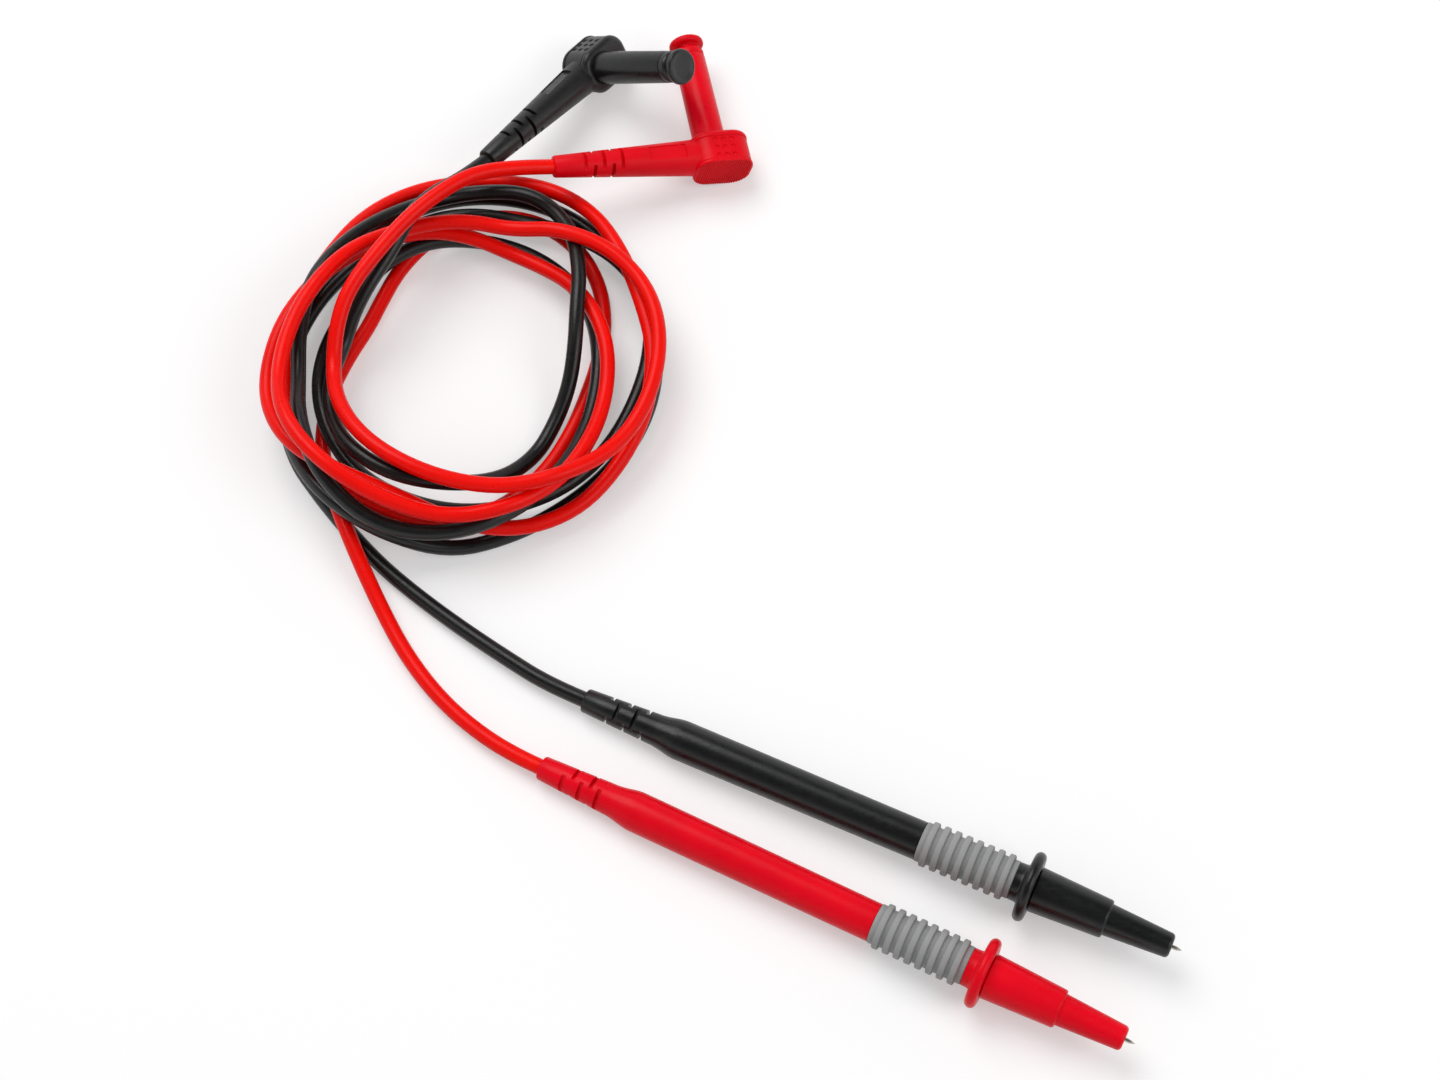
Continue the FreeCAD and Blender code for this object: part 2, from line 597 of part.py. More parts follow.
def arc(start, tangent, end):
    """The arc that leaves start along a direction and ends at end."""
    chord = end - start
    bow = tangent - chord * (tangent.dot(chord) / chord.dot(chord))
    if bow.Length < 1e-6:
        return Part.LineSegment(start, end).toShape()
    half = chord.Length / 2
    rise = half * math.tan(tangent.getAngle(chord) / 2)
    return Part.Arc(start, (start + end) * 0.5 + bow.normalize() * rise, end).toShape()


def two_arcs(start, leaving, end, arriving):
    """Two arcs that join two points and their directions smoothly."""
    gap, both = end - start, leaving + arriving
    a, b, c = 2 * (1 - leaving.dot(arriving)), 2 * gap.dot(both), -gap.dot(gap)
    reach = -c / b if abs(a) < 1e-9 else (-b + math.sqrt(b * b - 4 * a * c)) / (2 * a)
    knee_in, knee_out = start + leaving * reach, end - arriving * reach
    middle = (knee_in + knee_out) * 0.5
    direction = (knee_out - knee_in).normalize()
    return [arc(start, leaving, middle), arc(middle, direction, end)]


def rounded_route(label, spots):
    """Straight runs joined by arcs, each as large as its two runs allow."""
    edges, radii, last = [], [], spots[0]
    for before, corner, after in zip(spots, spots[1:], spots[2:]):
        back, ahead = before - corner, after - corner
        half_turn = (math.pi - back.getAngle(ahead)) / 2
        reach = 0.45 * min(back.Length, ahead.Length)
        radius = reach / math.tan(half_turn)
        radii.append(round(radius))
        back.normalize()
        ahead.normalize()
        start, end = corner + back * reach, corner + ahead * reach
        middle = corner + (back + ahead).normalize() * (radius / math.cos(half_turn) - radius)
        edges += [Part.LineSegment(last, start).toShape(), Part.Arc(start, middle, end).toShape()]
        last = end
    edges.append(Part.LineSegment(last, spots[-1]).toShape())
    print(label, "radii", radii)
    return Part.Wire(edges)


def cable_section(start, along):
    """Eight-sided outline of the cable, square to its start."""
    side = along.cross(Vector(0, 0, 1)).normalize()
    up = side.cross(along).normalize()
    radius = size("cable_r")
    corners = [
        start + side * (radius * math.cos(turn)) + up * (radius * math.sin(turn))
        for turn in (2 * math.pi * k / SIDES for k in range(SIDES))
    ]
    return Part.Wire(Part.makePolygon(corners + corners[:1]).Edges)


def cable_tube(label, path):
    """Solid tube along a path; prints its length and how its volume compares with its section."""
    first = path.Edges[0]
    along = first.tangentAt(first.FirstParameter)
    section = cable_section(first.valueAt(first.FirstParameter), along)
    solid = path.makePipeShell([section], True, False)
    tube = doc.addObject("Part::Feature", label)
    tube.Label = label
    tube.Shape = solid
    expected = Part.Face(section).Area * path.Length
    print(label, "length", round(path.Length, 1), "volume ratio", round(solid.Volume / expected, 4))
    return tube


def coil_path(fine, start, end, arriving, leaving):
    """The coil's path: a straight end at each side, and two arcs from station to station."""
    straight = 2 * size("cable_r")
    spots, directions = [fine[start] + arriving * straight], [arriving]
    for place in range(start + FINE, end, FINE):
        spots.append(fine[place])
        directions.append((fine[place + 1] - fine[place - 1]).normalize())
    spots.append(fine[end] - leaving * straight)
    directions.append(leaving)
    edges = [Part.LineSegment(fine[start], spots[0]).toShape()]
    for a, toward, b, onward in zip(spots, directions, spots[1:], directions[1:]):
        edges += two_arcs(a, toward, b, onward)
    edges.append(Part.LineSegment(spots[-1], fine[end]).toShape())
    return Part.Wire(edges)


def least_gap(paths):
    """Least clear distance between strands, on points a millimetre apart along the paths."""
    points = []
    for name, path in paths:
        run = 0.0
        for edge in path.Edges:
            count = max(2, int(edge.Length))
            for spot in edge.discretize(count)[:-1]:
                points.append((spot.x, spot.y, spot.z, name, run))
                run += edge.Length / (count - 1)
    apart = 15 * size("cable_r")
    least = min(
        math.dist(a[:3], b[:3])
        for k, a in enumerate(points) for b in points[k + 1:]
        if (a[3] != b[3] or b[4] - a[4] > apart) and abs(a[0] - b[0]) < 8 and abs(a[1] - b[1]) < 8
    )
    return least - 2 * size("cable_r")


def make_cables():
    cables, paths = [], []
    for name, (fine, start, end) in routes().items():
        lead = LEADS[name]
        rear = [Vector(*lead["plug_start"])] + [Vector(*p) for p in lead["rear"]] + [fine[start]]
        front = [fine[end]] + [Vector(*p) for p in lead["front"]]
        front.append(Vector(*lead["probe_start"], probe_height(0)))
        arriving = (rear[-1] - rear[-2]).normalize()
        leaving = (front[1] - front[0]).normalize()
        stretches = {
            "cable_rear": rounded_route(name + "_cable_rear", rear),
            "cable_coil": coil_path(fine, start, end, arriving, leaving),
            "cable_front": rounded_route(name + "_cable_front", front),
        }
        for piece, path in stretches.items():
            cables.append(cable_tube(f"{name}_{piece}", path))
        paths.append((name, Part.Wire([e for path in stretches.values() for e in path.Edges])))
    print("least gap between strands", round(least_gap(paths), 2))
    return cables


# The probes lie on their barrel's rear end and on the finger guard, so their axis rises to the front.

def probe_height(along):
    rear_spot, rear_r = size("flare_end"), size("barrel_rear_r")
    front_spot, front_r = (size("guard_start") + size("guard_end")) / 2, size("guard_r")
    return rear_r + (along - rear_spot) * (front_r - rear_r) / (front_spot - rear_spot)


def probe_pose(lead):
    span = size("guard_end") - size("flare_end")
    pitch = math.degrees(math.atan2(probe_height(size("guard_end")) - probe_height(size("flare_end")), span))
    turn = Rotation(Vector(0, 0, 1), lead["probe_yaw"]) * Rotation(Vector(0, 1, 0), -pitch)
    return Placement(Vector(*lead["probe_start"], probe_height(0)), turn)


def plug_pose(lead):
    """Plug frame: X along the arm, Y along the shroud, with the strain relief's end at its place."""
    arm = Vector(*lead["plug_arm"]).normalize()
    normal = arm.cross(Vector(*lead["plug_shroud"])).normalize()
    shroud = normal.cross(arm)
    turn = Rotation(arm, shroud, normal, "XYZ")
    return Placement(Vector(*lead["plug_start"]) - arm * size("arm_start"), turn)


def make_lead(name, lead):
    """All pieces of one lead apart from its cable."""
    on_probe, on_plug = probe_pose(lead), plug_pose(lead)
    on_shroud = on_plug * Placement(Vector(), Rotation(Vector(0, 0, 1), 90))
    pieces = [
        (make_handle(name + "_handle", lead["slot_roll"]), on_probe),
        (make_grip_sleeve(name + "_grip_sleeve"), on_probe),
        (make_front_body(name + "_front_body"), on_probe),
        (make_tip_cover(name + "_tip_cover"), on_probe),
        (make_needle(name + "_probe_needle"), on_probe),
        (make_ferrule(name + "_needle_ferrule"), on_probe),
        (make_cable_end(name + "_handle_cable_end", "0", "cavity_start", "ferrule_mid"), on_probe),
        (make_cable_end(name + "_plug_cable_end", "arm_start", "jacket_end", "-tail_r"), on_plug),
        (make_plug_body(name + "_plug_body"), on_plug),
        (make_shroud(name + "_plug_shroud"), on_shroud),
        (make_pin(name + "_plug_pin"), on_shroud),
        (make_spring(name + "_pin_spring"), on_shroud),
        (make_plug_cap(name + "_plug_cap"), on_shroud),
    ]
    for piece, pose in pieces:
        piece.Placement = pose
    return [piece for piece, _ in pieces]


nodes = make_cables()
for lead_name, lead_sizes in LEADS.items():
    nodes += make_lead(lead_name, lead_sizes)
doc.recompute()

failed = [item.Label for item in doc.Objects if {"Invalid", "Error"} & set(item.State)]
bad = [node.Label for node in nodes if node.Shape.isNull() or not node.Shape.isValid()]
split = [node.Label for node in nodes if len(node.Shape.Solids) != 1]
if failed or bad or split:
    raise RuntimeError(f"failed {failed}, not valid {bad}, not one solid {split}")

os.makedirs("parts", exist_ok=True)
for node in nodes:
    node.Shape.exportStep(f"parts/{node.Label}.step")
    print(node.Label, "volume", round(node.Shape.Volume, 1))

for name in LEADS:
    relief = next(node.Shape for node in nodes if node.Label == name + "_handle")
    print(name, "handle lowest", round(relief.BoundBox.ZMin, 3))
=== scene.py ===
# %% [markdown]
# # A pair of test leads
# The object is a red and a black test lead for an electrical meter. Each one has a slim hand probe
# with a grey ribbed grip, a long thin cable in a loose coil, and a right-angle plug with a cap on it.
# The construction model comes first, as a fixed frame. Every piece made here goes where that model
# says, so nothing has to be fitted by eye.

# %% Load the construction model
import json
import math
from collections import namedtuple

import bpy
from mathutils import Matrix, Vector


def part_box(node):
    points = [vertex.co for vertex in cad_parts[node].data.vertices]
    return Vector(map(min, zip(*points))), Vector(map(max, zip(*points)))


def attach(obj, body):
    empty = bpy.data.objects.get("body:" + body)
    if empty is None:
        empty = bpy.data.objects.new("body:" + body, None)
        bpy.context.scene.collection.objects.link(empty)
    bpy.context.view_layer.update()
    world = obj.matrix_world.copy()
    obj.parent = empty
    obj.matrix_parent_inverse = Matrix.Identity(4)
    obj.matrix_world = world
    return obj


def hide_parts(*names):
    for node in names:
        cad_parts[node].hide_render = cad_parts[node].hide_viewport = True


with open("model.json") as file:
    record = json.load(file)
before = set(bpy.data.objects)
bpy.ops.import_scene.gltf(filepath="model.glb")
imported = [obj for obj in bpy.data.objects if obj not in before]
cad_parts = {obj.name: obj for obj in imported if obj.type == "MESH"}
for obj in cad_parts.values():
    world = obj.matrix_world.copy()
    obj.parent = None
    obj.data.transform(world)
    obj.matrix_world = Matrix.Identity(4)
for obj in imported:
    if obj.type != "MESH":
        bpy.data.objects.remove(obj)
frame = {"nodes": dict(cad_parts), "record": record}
bpy.ops.object.select_all(action="DESELECT")
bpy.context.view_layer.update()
COLOURS = ("black", "red")

# %% [markdown]
# ## View, floor and light
# The photograph was taken from high up, about 66 degrees above the table, with a long lens. Distance
# and focal length can be traded against each other; the pair used here was found from how much
# smaller the far plugs look than the near probes.

# %% Camera
AIM = Vector((-0.03015, 0.0844, 0.0))
DISTANCE = 0.630
ELEVATION = math.radians(66)
LENS, SENSOR_WIDTH = 63.5, 36

bpy.ops.object.camera_add(
    location=AIM + DISTANCE * Vector((0, -math.cos(ELEVATION), math.sin(ELEVATION))),
    rotation=(math.pi / 2 - ELEVATION, 0, 0))
camera = bpy.context.object
camera.name = "camera"
camera.data.lens = LENS
camera.data.sensor_width = SENSOR_WIDTH
bpy.context.scene.camera = camera
print("camera", [round(value, 4) for value in camera.location])

# %% [markdown]
# The table in the photograph is pure white, while the shadows under the leads stay soft and grey.
# More light would bleach the red plastic, so the floor gets a little light of its own instead, and
# only for rays that come from the camera or from a gloss. What the floor loses in a shadow stays
# lost. Far from the leads, where the lamps hardly reach, it glows more, so a low view has no edge.

# %% Floor
FLOOR_SIZE = 6.0
FLOOR_PAINT, FLOOR_BLUE = 0.66, 1.004
FLOOR_GLOW = 0.37
FAR_GLOW = 0.85
GLOW_RISES_FROM = 0.45
GLOW_RISES_TO = 2.4


def seen_directly(nodes, links):
    """A socket that is 1 for rays from the camera and for mirrored or refracted ones, else 0."""
    path = nodes.new("ShaderNodeLightPath")
    first = nodes.new("ShaderNodeMath")
    first.operation = "MAXIMUM"
    second = nodes.new("ShaderNodeMath")
    second.operation = "MAXIMUM"
    links.new(path.outputs["Is Camera Ray"], first.inputs[0])
    links.new(path.outputs["Is Glossy Ray"], first.inputs[1])
    links.new(first.outputs[0], second.inputs[0])
    links.new(path.outputs["Is Transmission Ray"], second.inputs[1])
    return second.outputs[0]


def smooth_range(nodes, from_low, from_high, to_low, to_high):
    """A node that eases from one level to another while its input crosses a range."""
    ranged = nodes.new("ShaderNodeMapRange")
    ranged.interpolation_type = "SMOOTHSTEP"
    ranged.inputs["From Min"].default_value = from_low
    ranged.inputs["From Max"].default_value = from_high
    ranged.inputs["To Min"].default_value = to_low
    ranged.inputs["To Max"].default_value = to_high
    return ranged


def make_floor_paint():
    """Matt white paint with a light of its own, which rises with the distance from the leads."""
    paint = bpy.data.materials.new("white_table")
    paint.use_nodes = True
    nodes, links = paint.node_tree.nodes, paint.node_tree.links
    nodes.clear()
    matt = nodes.new("ShaderNodeBsdfDiffuse")
    matt.inputs["Color"].default_value = (FLOOR_PAINT, FLOOR_PAINT, FLOOR_PAINT * FLOOR_BLUE, 1)

    away = nodes.new("ShaderNodeVectorMath")
    away.operation = "LENGTH"
    links.new(nodes.new("ShaderNodeTexCoord").outputs["Object"], away.inputs[0])
    rising = smooth_range(nodes, GLOW_RISES_FROM, GLOW_RISES_TO, FLOOR_GLOW, FAR_GLOW)
    links.new(away.outputs["Value"], rising.inputs["Value"])
    strength = nodes.new("ShaderNodeMath")
    strength.operation = "MULTIPLY"
    links.new(seen_directly(nodes, links), strength.inputs[0])
    links.new(rising.outputs["Result"], strength.inputs[1])
    glow = nodes.new("ShaderNodeEmission")
    links.new(strength.outputs[0], glow.inputs["Strength"])

    both = nodes.new("ShaderNodeAddShader")
    surface = nodes.new("ShaderNodeOutputMaterial")
    links.new(matt.outputs[0], both.inputs[0])
    links.new(glow.outputs[0], both.inputs[1])
    links.new(both.outputs[0], surface.inputs["Surface"])
    return paint


bpy.ops.mesh.primitive_plane_add(size=FLOOR_SIZE, location=(AIM.x, AIM.y, 0))
floor = bpy.context.object
floor.name = "floor"
floor.data.materials.append(make_floor_paint())
print("floor", FLOOR_SIZE, "m wide")

# %% [markdown]
# The lamps are large and soft. The world is dimmer overhead than near the horizon, but only as the
# plastic mirrors it, so black parts stay dark on top and carry a light band along their sides.

# %% World and lamps
WORLD_LIGHT = 0.55
HORIZON_LIGHT = 1.5
ZENITH_LIGHT = 0.2
HORIZON_TO = 0.2
ZENITH_FROM = 0.75
LAMPS = {
    "lamp_over": ((-0.55, 0.75, 1.25), 1.1, 12.0),
    "lamp_side": ((0.95, -0.35, 0.95), 0.9, 5.0),
}


def make_world():
    """Even light for the leads, and a brighter horizon for what they mirror."""
    world = bpy.data.worlds.new("studio")
    world.use_nodes = True
    nodes, links = world.node_tree.nodes, world.node_tree.links
    nodes.clear()
    upward = nodes.new("ShaderNodeSeparateXYZ")
    links.new(nodes.new("ShaderNodeTexCoord").outputs["Generated"], upward.inputs[0])
    mirrored = smooth_range(nodes, HORIZON_TO, ZENITH_FROM, HORIZON_LIGHT, ZENITH_LIGHT)
    links.new(upward.outputs["Z"], mirrored.inputs["Value"])

    level = nodes.new("ShaderNodeMapRange")
    level.inputs["To Min"].default_value = WORLD_LIGHT
    links.new(mirrored.outputs["Result"], level.inputs["To Max"])
    links.new(seen_directly(nodes, links), level.inputs["Value"])
    sky = nodes.new("ShaderNodeBackground")
    links.new(level.outputs["Result"], sky.inputs["Strength"])
    sky_out = nodes.new("ShaderNodeOutputWorld")
    links.new(sky.outputs[0], sky_out.inputs["Surface"])
    return world


bpy.context.scene.world = make_world()
for lamp_name, (place, width, power) in LAMPS.items():
    bpy.ops.object.light_add(type="AREA", location=place)
    lamp = bpy.context.object
    lamp.name = lamp_name
    lamp.rotation_euler = (AIM - Vector(place)).to_track_quat("-Z", "Y").to_euler()
    lamp.data.shape = "DISK"
    lamp.data.size = width
    lamp.data.energy = power
    print(lamp_name, width, "m wide,", power, "W")

bpy.context.scene.view_settings.view_transform = "Standard"

# %% [markdown]
# ## Finishes
# The hard plastic of the probes, the softer plastic of the plugs, the rubber of the grip and the
# cable's jacket differ more in gloss and grain than in colour. Each finish is built from the same few
# nodes: a slow cloudy noise shifts the colour a little, a fine one makes the moulded grain, and one
# stretched along X, roughly the way the probes lie, makes the faint rubs of handling. They read Object
# coordinates, because the pieces carry no UV map and stay where they are.

# %% Finish helpers
CLOUDS, RUBS, HAZE = (90, 3), (260, 4), (700, 2)
RUB_STRETCH, RUB_DEPTH = (1, 5, 3), 0.05
GRAIN_DETAIL, GRAIN_STRENGTH = 3, 0.5
NOISE_LOW, NOISE_HIGH = 0.3, 0.7


def linear(red, green, blue):
    """A colour given as it looks on screen, 0 to 255, by the sRGB curve as Blender wants it."""
    def one(value):
        part = value / 255
        return part / 12.92 if part <= 0.04045 else ((part + 0.055) / 1.055) ** 2.4
    return (one(red), one(green), one(blue), 1.0)


def noise(nodes, links, place, scale, detail, stretch=(1, 1, 1)):
    """A noise on the object's own coordinates, with about scale waves to the metre, and its detail."""
    mapping = nodes.new("ShaderNodeMapping")
    mapping.inputs["Scale"].default_value = stretch
    texture = nodes.new("ShaderNodeTexNoise")
    texture.inputs["Scale"].default_value = scale
    texture.inputs["Detail"].default_value = detail
    links.new(place, mapping.inputs["Vector"])
    links.new(mapping.outputs["Vector"], texture.inputs["Vector"])
    return texture.outputs["Fac"]


def spread(nodes, links, source, low, high):
    """A noise, which stays near its middle, stretched to run from low to high."""
    ranged = nodes.new("ShaderNodeMapRange")
    ranged.inputs["From Min"].default_value = NOISE_LOW
    ranged.inputs["From Max"].default_value = NOISE_HIGH
    ranged.inputs["To Min"].default_value = low
    ranged.inputs["To Max"].default_value = high
    links.new(source, ranged.inputs["Value"])
    return ranged.outputs["Result"]


def make_finish(name, colour, shade, gloss, grain, shine, metallic=0.0):
    """A finish: colour clouds into shade, roughness runs over gloss, grain is (waves per metre, depth)."""
    finish = bpy.data.materials.new(name)
    finish.use_nodes = True
    nodes, links = finish.node_tree.nodes, finish.node_tree.links
    shader = nodes["Principled BSDF"]
    shader.inputs["Metallic"].default_value = metallic
    shader.inputs["Specular IOR Level"].default_value = shine
    place = nodes.new("ShaderNodeTexCoord").outputs["Object"]

    mixed = nodes.new("ShaderNodeMix")
    mixed.data_type = "RGBA"
    mixed.inputs[6].default_value = linear(*colour)
    mixed.inputs[7].default_value = linear(*shade)
    links.new(spread(nodes, links, noise(nodes, links, place, *CLOUDS), 0, 1), mixed.inputs[0])
    links.new(mixed.outputs[2], shader.inputs["Base Color"])

    streaks = noise(nodes, links, place, *RUBS, RUB_STRETCH)
    rubs = spread(nodes, links, streaks, -RUB_DEPTH, RUB_DEPTH)
    haze = spread(nodes, links, noise(nodes, links, place, *HAZE), *gloss)
    added = nodes.new("ShaderNodeMath")
    added.operation = "ADD"
    added.use_clamp = True
    links.new(rubs, added.inputs[0])
    links.new(haze, added.inputs[1])
    links.new(added.outputs[0], shader.inputs["Roughness"])

    waves, depth = grain
    bump = nodes.new("ShaderNodeBump")
    bump.inputs["Strength"].default_value = GRAIN_STRENGTH
    bump.inputs["Distance"].default_value = depth
    links.new(noise(nodes, links, place, waves, GRAIN_DETAIL), bump.inputs["Height"])
    links.new(bump.outputs["Normal"], shader.inputs["Normal"])
    return finish


# %% The finishes themselves
FINE_GRAIN, COARSE_GRAIN = 0.00001, 0.00003
JACKET_GRAIN = 0.000004
PLASTICS = {
    "red_shell": ((240, 1, 30), (228, 1, 26), (0.28, 0.36), (2600, FINE_GRAIN), 0.13),
    "black_shell": ((13, 14, 15), (20, 21, 22), (0.27, 0.36), (2600, FINE_GRAIN), 0.35),
    "red_soft": ((240, 2, 27), (226, 1, 23), (0.36, 0.46), (3600, COARSE_GRAIN), 0.15),
    "black_soft": ((21, 22, 22), (29, 29, 30), (0.32, 0.42), (3600, COARSE_GRAIN), 0.42),
    "red_cable": ((252, 12, 2), (243, 8, 1), (0.28, 0.36), (1800, JACKET_GRAIN), 0.15),
    "black_cable": ((14, 15, 15), (22, 22, 22), (0.28, 0.36), (1800, JACKET_GRAIN), 0.35),
    "grip_rubber": ((150, 151, 151), (160, 161, 160), (0.52, 0.62), (3200, COARSE_GRAIN), 0.25),
}
METALS = {
    "needle_steel": ((190, 186, 178), (168, 164, 156), (0.18, 0.30), (1500, FINE_GRAIN), 0.35),
    "ferrule_brass": ((206, 170, 92), (184, 146, 74), (0.24, 0.36), (1500, FINE_GRAIN), 0.35),
    "pin_nickel": ((206, 204, 198), (188, 186, 180), (0.14, 0.26), (1500, FINE_GRAIN), 0.35),
}
FINISHES = {name: make_finish(name, *look) for name, look in PLASTICS.items()}
for name, look in METALS.items():
    FINISHES[name] = make_finish(name, *look, metallic=1.0)
print(len(FINISHES), "finishes")

slot_of = {row["node"]: row["material_slot"] for row in frame["record"]["subparts"]}
print("slots", sorted(set(slot_of.values())))

# %% [markdown]
# ## The two cables
# A test lead's cable is thin, very limp and about 1.3 metres long here. Most of it lies in a loose
# coil whose turns all differ in size. Each cable is one smooth curve. Its free ends run as in the
# construction model, while the coil follows the photograph a little more closely than that model
# does. The coil's points are worked out from one radius for every quarter turn, with a small bulge
# in some, and the heights from the order in which the turns were laid: a strand lies on the table,
# or passes over the strands under it in a low hump.
#
# A lead's values say where its probe starts and which way it points, how its relief slots are rolled,
# where the cable enters the plug, and the directions of the plug's arm and shroud. Rear and front are
# the cable's free ends. Laid later counts the turns by which one lead was laid down after the other.

# %% Route values, in millimetres
CABLE_R = 1.95
GAP = 0.65
HUMP_R, HUMP_REACH = 30.0, 22.0
STATIONS, FINE_STEPS = 20, 6
COIL_CENTRE = (-95.15, 133.9)
COIL_START, COIL_END = 160, 215
REST_REAR, REST_FRONT = (24.6, 4.85), (114.05, 8.5)


def probe_height(along):
    """The probe lies on its barrel and its finger guard, so its axis rises towards the tip."""
    rise = (REST_FRONT[1] - REST_REAR[1]) / (REST_FRONT[0] - REST_REAR[0])
    return REST_REAR[1] + (along - REST_REAR[0]) * rise


LEADS = {
    "black": {
        "probe_start": (-62.46, 40.71), "probe_yaw": -24.64, "slot_roll": 10,
        "plug_start": (-90.25, 184.7, 16.1),
        "plug_arm": (0.601, 0.778, -0.180), "plug_shroud": (0.696, -0.401, 0.595),
        "rear": [(-95.7, 177.7, 18.7), (-103.4, 171.9, 20.4), (-109.2, 164.9, 20.9),
                 (-112.4, 157.0, 19.8)],
        "radii": [28.0, 43.0, 28.8, 48.5, 40.5, 56.0, 36.0, 34.8, 34.5, 44.0, 45.8, 41.0, 41.5,
                  55.0, 49.5, 49.6, 45.0, 54.0],
        "bulges": {2: -6.0, 3: -2.0, 4: -5.5, 10: 5.5, 13: -3.0},
        "laid_later": 0.0,
        "front": [(-130.4, 96.3, 1.95), (-122.2, 86.0, 1.95), (-113.3, 76.3, 1.95),
                  (-103.1, 67.6, 1.95), (-92.2, 59.3, 2.2), (-81.8, 51.9, 2.75),
                  (-71.55, 44.9, 3.4)],
    },
    "red": {
        "probe_start": (-72.47, 23.69), "probe_yaw": -26.45, "slot_roll": -40,
        "plug_start": (-73.1, 181.8, 17.4),
        "plug_arm": (0.9475, 0.2190, -0.2330), "plug_shroud": (-0.198, 0.979, 0.059),
        "rear": [(-82.1, 179.7, 20.6), (-92.8, 176.2, 23.4), (-101.1, 169.8, 24.6),
                 (-108.0, 163.0, 24.8), (-113.8, 155.9, 24.3)],
        "radii": [29.0, 40.5, 50.5, 34.5, 37.5, 51.0, 39.0, 31.0, 42.0, 46.0, 50.0, 54.0, 43.5,
                  49.0, 33.0, 44.6, 27.0, 53.0],
        "bulges": {2: 4.5, 4: 3.0, 5: 2.5, 8: 7.5, 9: 5.0, 10: -6.0, 11: 2.0},
        "laid_later": 0.45,
        "front": [(-128.7, 102.6, 3.6), (-125.7, 93.6, 6.8), (-122.0, 84.4, 7.1),
                  (-117.6, 74.6, 5.2), (-112.3, 64.0, 2.7), (-106.2, 53.0, 1.95),
                  (-97.95, 42.1, 2.2), (-88.85, 33.6, 2.75), (-79.3, 27.0, 3.5)],
    },
}
print("turns in each coil", (len(LEADS["red"]["radii"]) - 2 + (COIL_END - COIL_START) / 90) / 4)


# %% Where the coil's strands run in plan


def eased(here, there, slope_in, slope_out, t):
    """A cubic from one value to the next, with a given slope at each end."""
    return ((2 * t**3 - 3 * t**2 + 1) * here + (t**3 - 2 * t**2 + t) * slope_in
            + (3 * t**2 - 2 * t**3) * there + (t**3 - t**2) * slope_out)


def quarter_bump(t):
    """A smooth bump over a quarter turn: 0 at both ends and 1 in the middle."""
    return 16 * t**2 * (1 - t)**2


def coil_guides(lead):
    """Places of the coil's stations in plan: a smooth curve through its quarter-turn radii, and bulges."""
    radii, step = lead["radii"], STATIONS // 4
    last = COIL_END + 90 * (len(radii) - 2)
    guides = []
    for quarter, (here, there) in enumerate(zip(radii, radii[1:])):
        slope_in = (there - radii[max(quarter - 1, 0)]) / 2
        slope_out = (radii[min(quarter + 2, len(radii) - 1)] - here) / 2
        for part in range(step):
            t = part / step
            angle = COIL_START + 90 * (quarter + t)
            if angle > last:
                break
            radius = eased(here, there, slope_in, slope_out, t)
            radius += lead["bulges"].get(quarter, 0) * quarter_bump(t)
            turn = math.radians(angle)
            guides.append((COIL_CENTRE[0] + radius * math.cos(turn),
                           COIL_CENTRE[1] + radius * math.sin(turn)))
    return guides


def smooth(points):
    """Fine points on a curve through the given ones."""
    ends = [points[0]] + points + [points[-1]]
    fine = []
    for a, b, c, d in zip(ends, ends[1:], ends[2:], ends[3:]):
        for part in range(FINE_STEPS):
            t = part / FINE_STEPS
            fine.append(tuple(
                0.5 * (2 * q + (r - p) * t + (2 * p - 5 * q + 4 * r - s) * t**2
                       + (3 * q - p - 3 * r + s) * t**3)
                for p, q, r, s in zip(a, b, c, d)))
    return fine + [points[-1]]


# %% How high they lie
Sample = namedtuple("Sample", "x y height lead place order")
SAME_STRAND = 4 * FINE_STEPS
ROUNDS, SETTLED = 60, 0.01


def crossings(samples, apart):
    """For every sample, the samples under it and how far above each of them it must pass."""
    under = [[] for _ in samples]
    for first, one in enumerate(samples):
        for second in range(first + 1, len(samples)):
            other = samples[second]
            if one.lead == other.lead and other.place - one.place < SAME_STRAND:
                continue
            flat = (one.x - other.x)**2 + (one.y - other.y)**2
            if flat < apart**2:
                lift = math.sqrt(apart**2 - flat)
                upper, lower = (first, second) if one.order > other.order else (second, first)
                under[upper].append((lower, lift))
    return under


def humps(samples):
    """For every sample, its neighbours along the strand and how much lower than each it may be."""
    rows = []
    for middle, sample in enumerate(samples):
        row = [(middle, 0.0)]
        for way in (-1, 1):
            place, run = middle, 0.0
            while 0 <= place + way < len(samples) and samples[place + way].lead == sample.lead:
                run += math.dist(samples[place][:2], samples[place + way][:2])
                place += way
                if run > HUMP_REACH:
                    break
                row.append((place, run**2 / (2 * HUMP_R)))
        rows.append(row)
    return rows


def lay(samples):
    """Heights: each strand lies on the floor or over the strands laid before it, in low humps."""
    under = crossings(samples, 2 * CABLE_R + GAP)
    rows = humps(samples)
    heights = [sample.height for sample in samples]
    for _ in range(ROUNDS):
        need = [max([sample.height] + [heights[low] + lift for low, lift in row])
                for sample, row in zip(samples, under)]
        raised = [max(need[place] - drop for place, drop in row) for row in rows]
        if max(abs(a - b) for a, b in zip(raised, heights)) < SETTLED:
            break
        heights = raised
    return raised


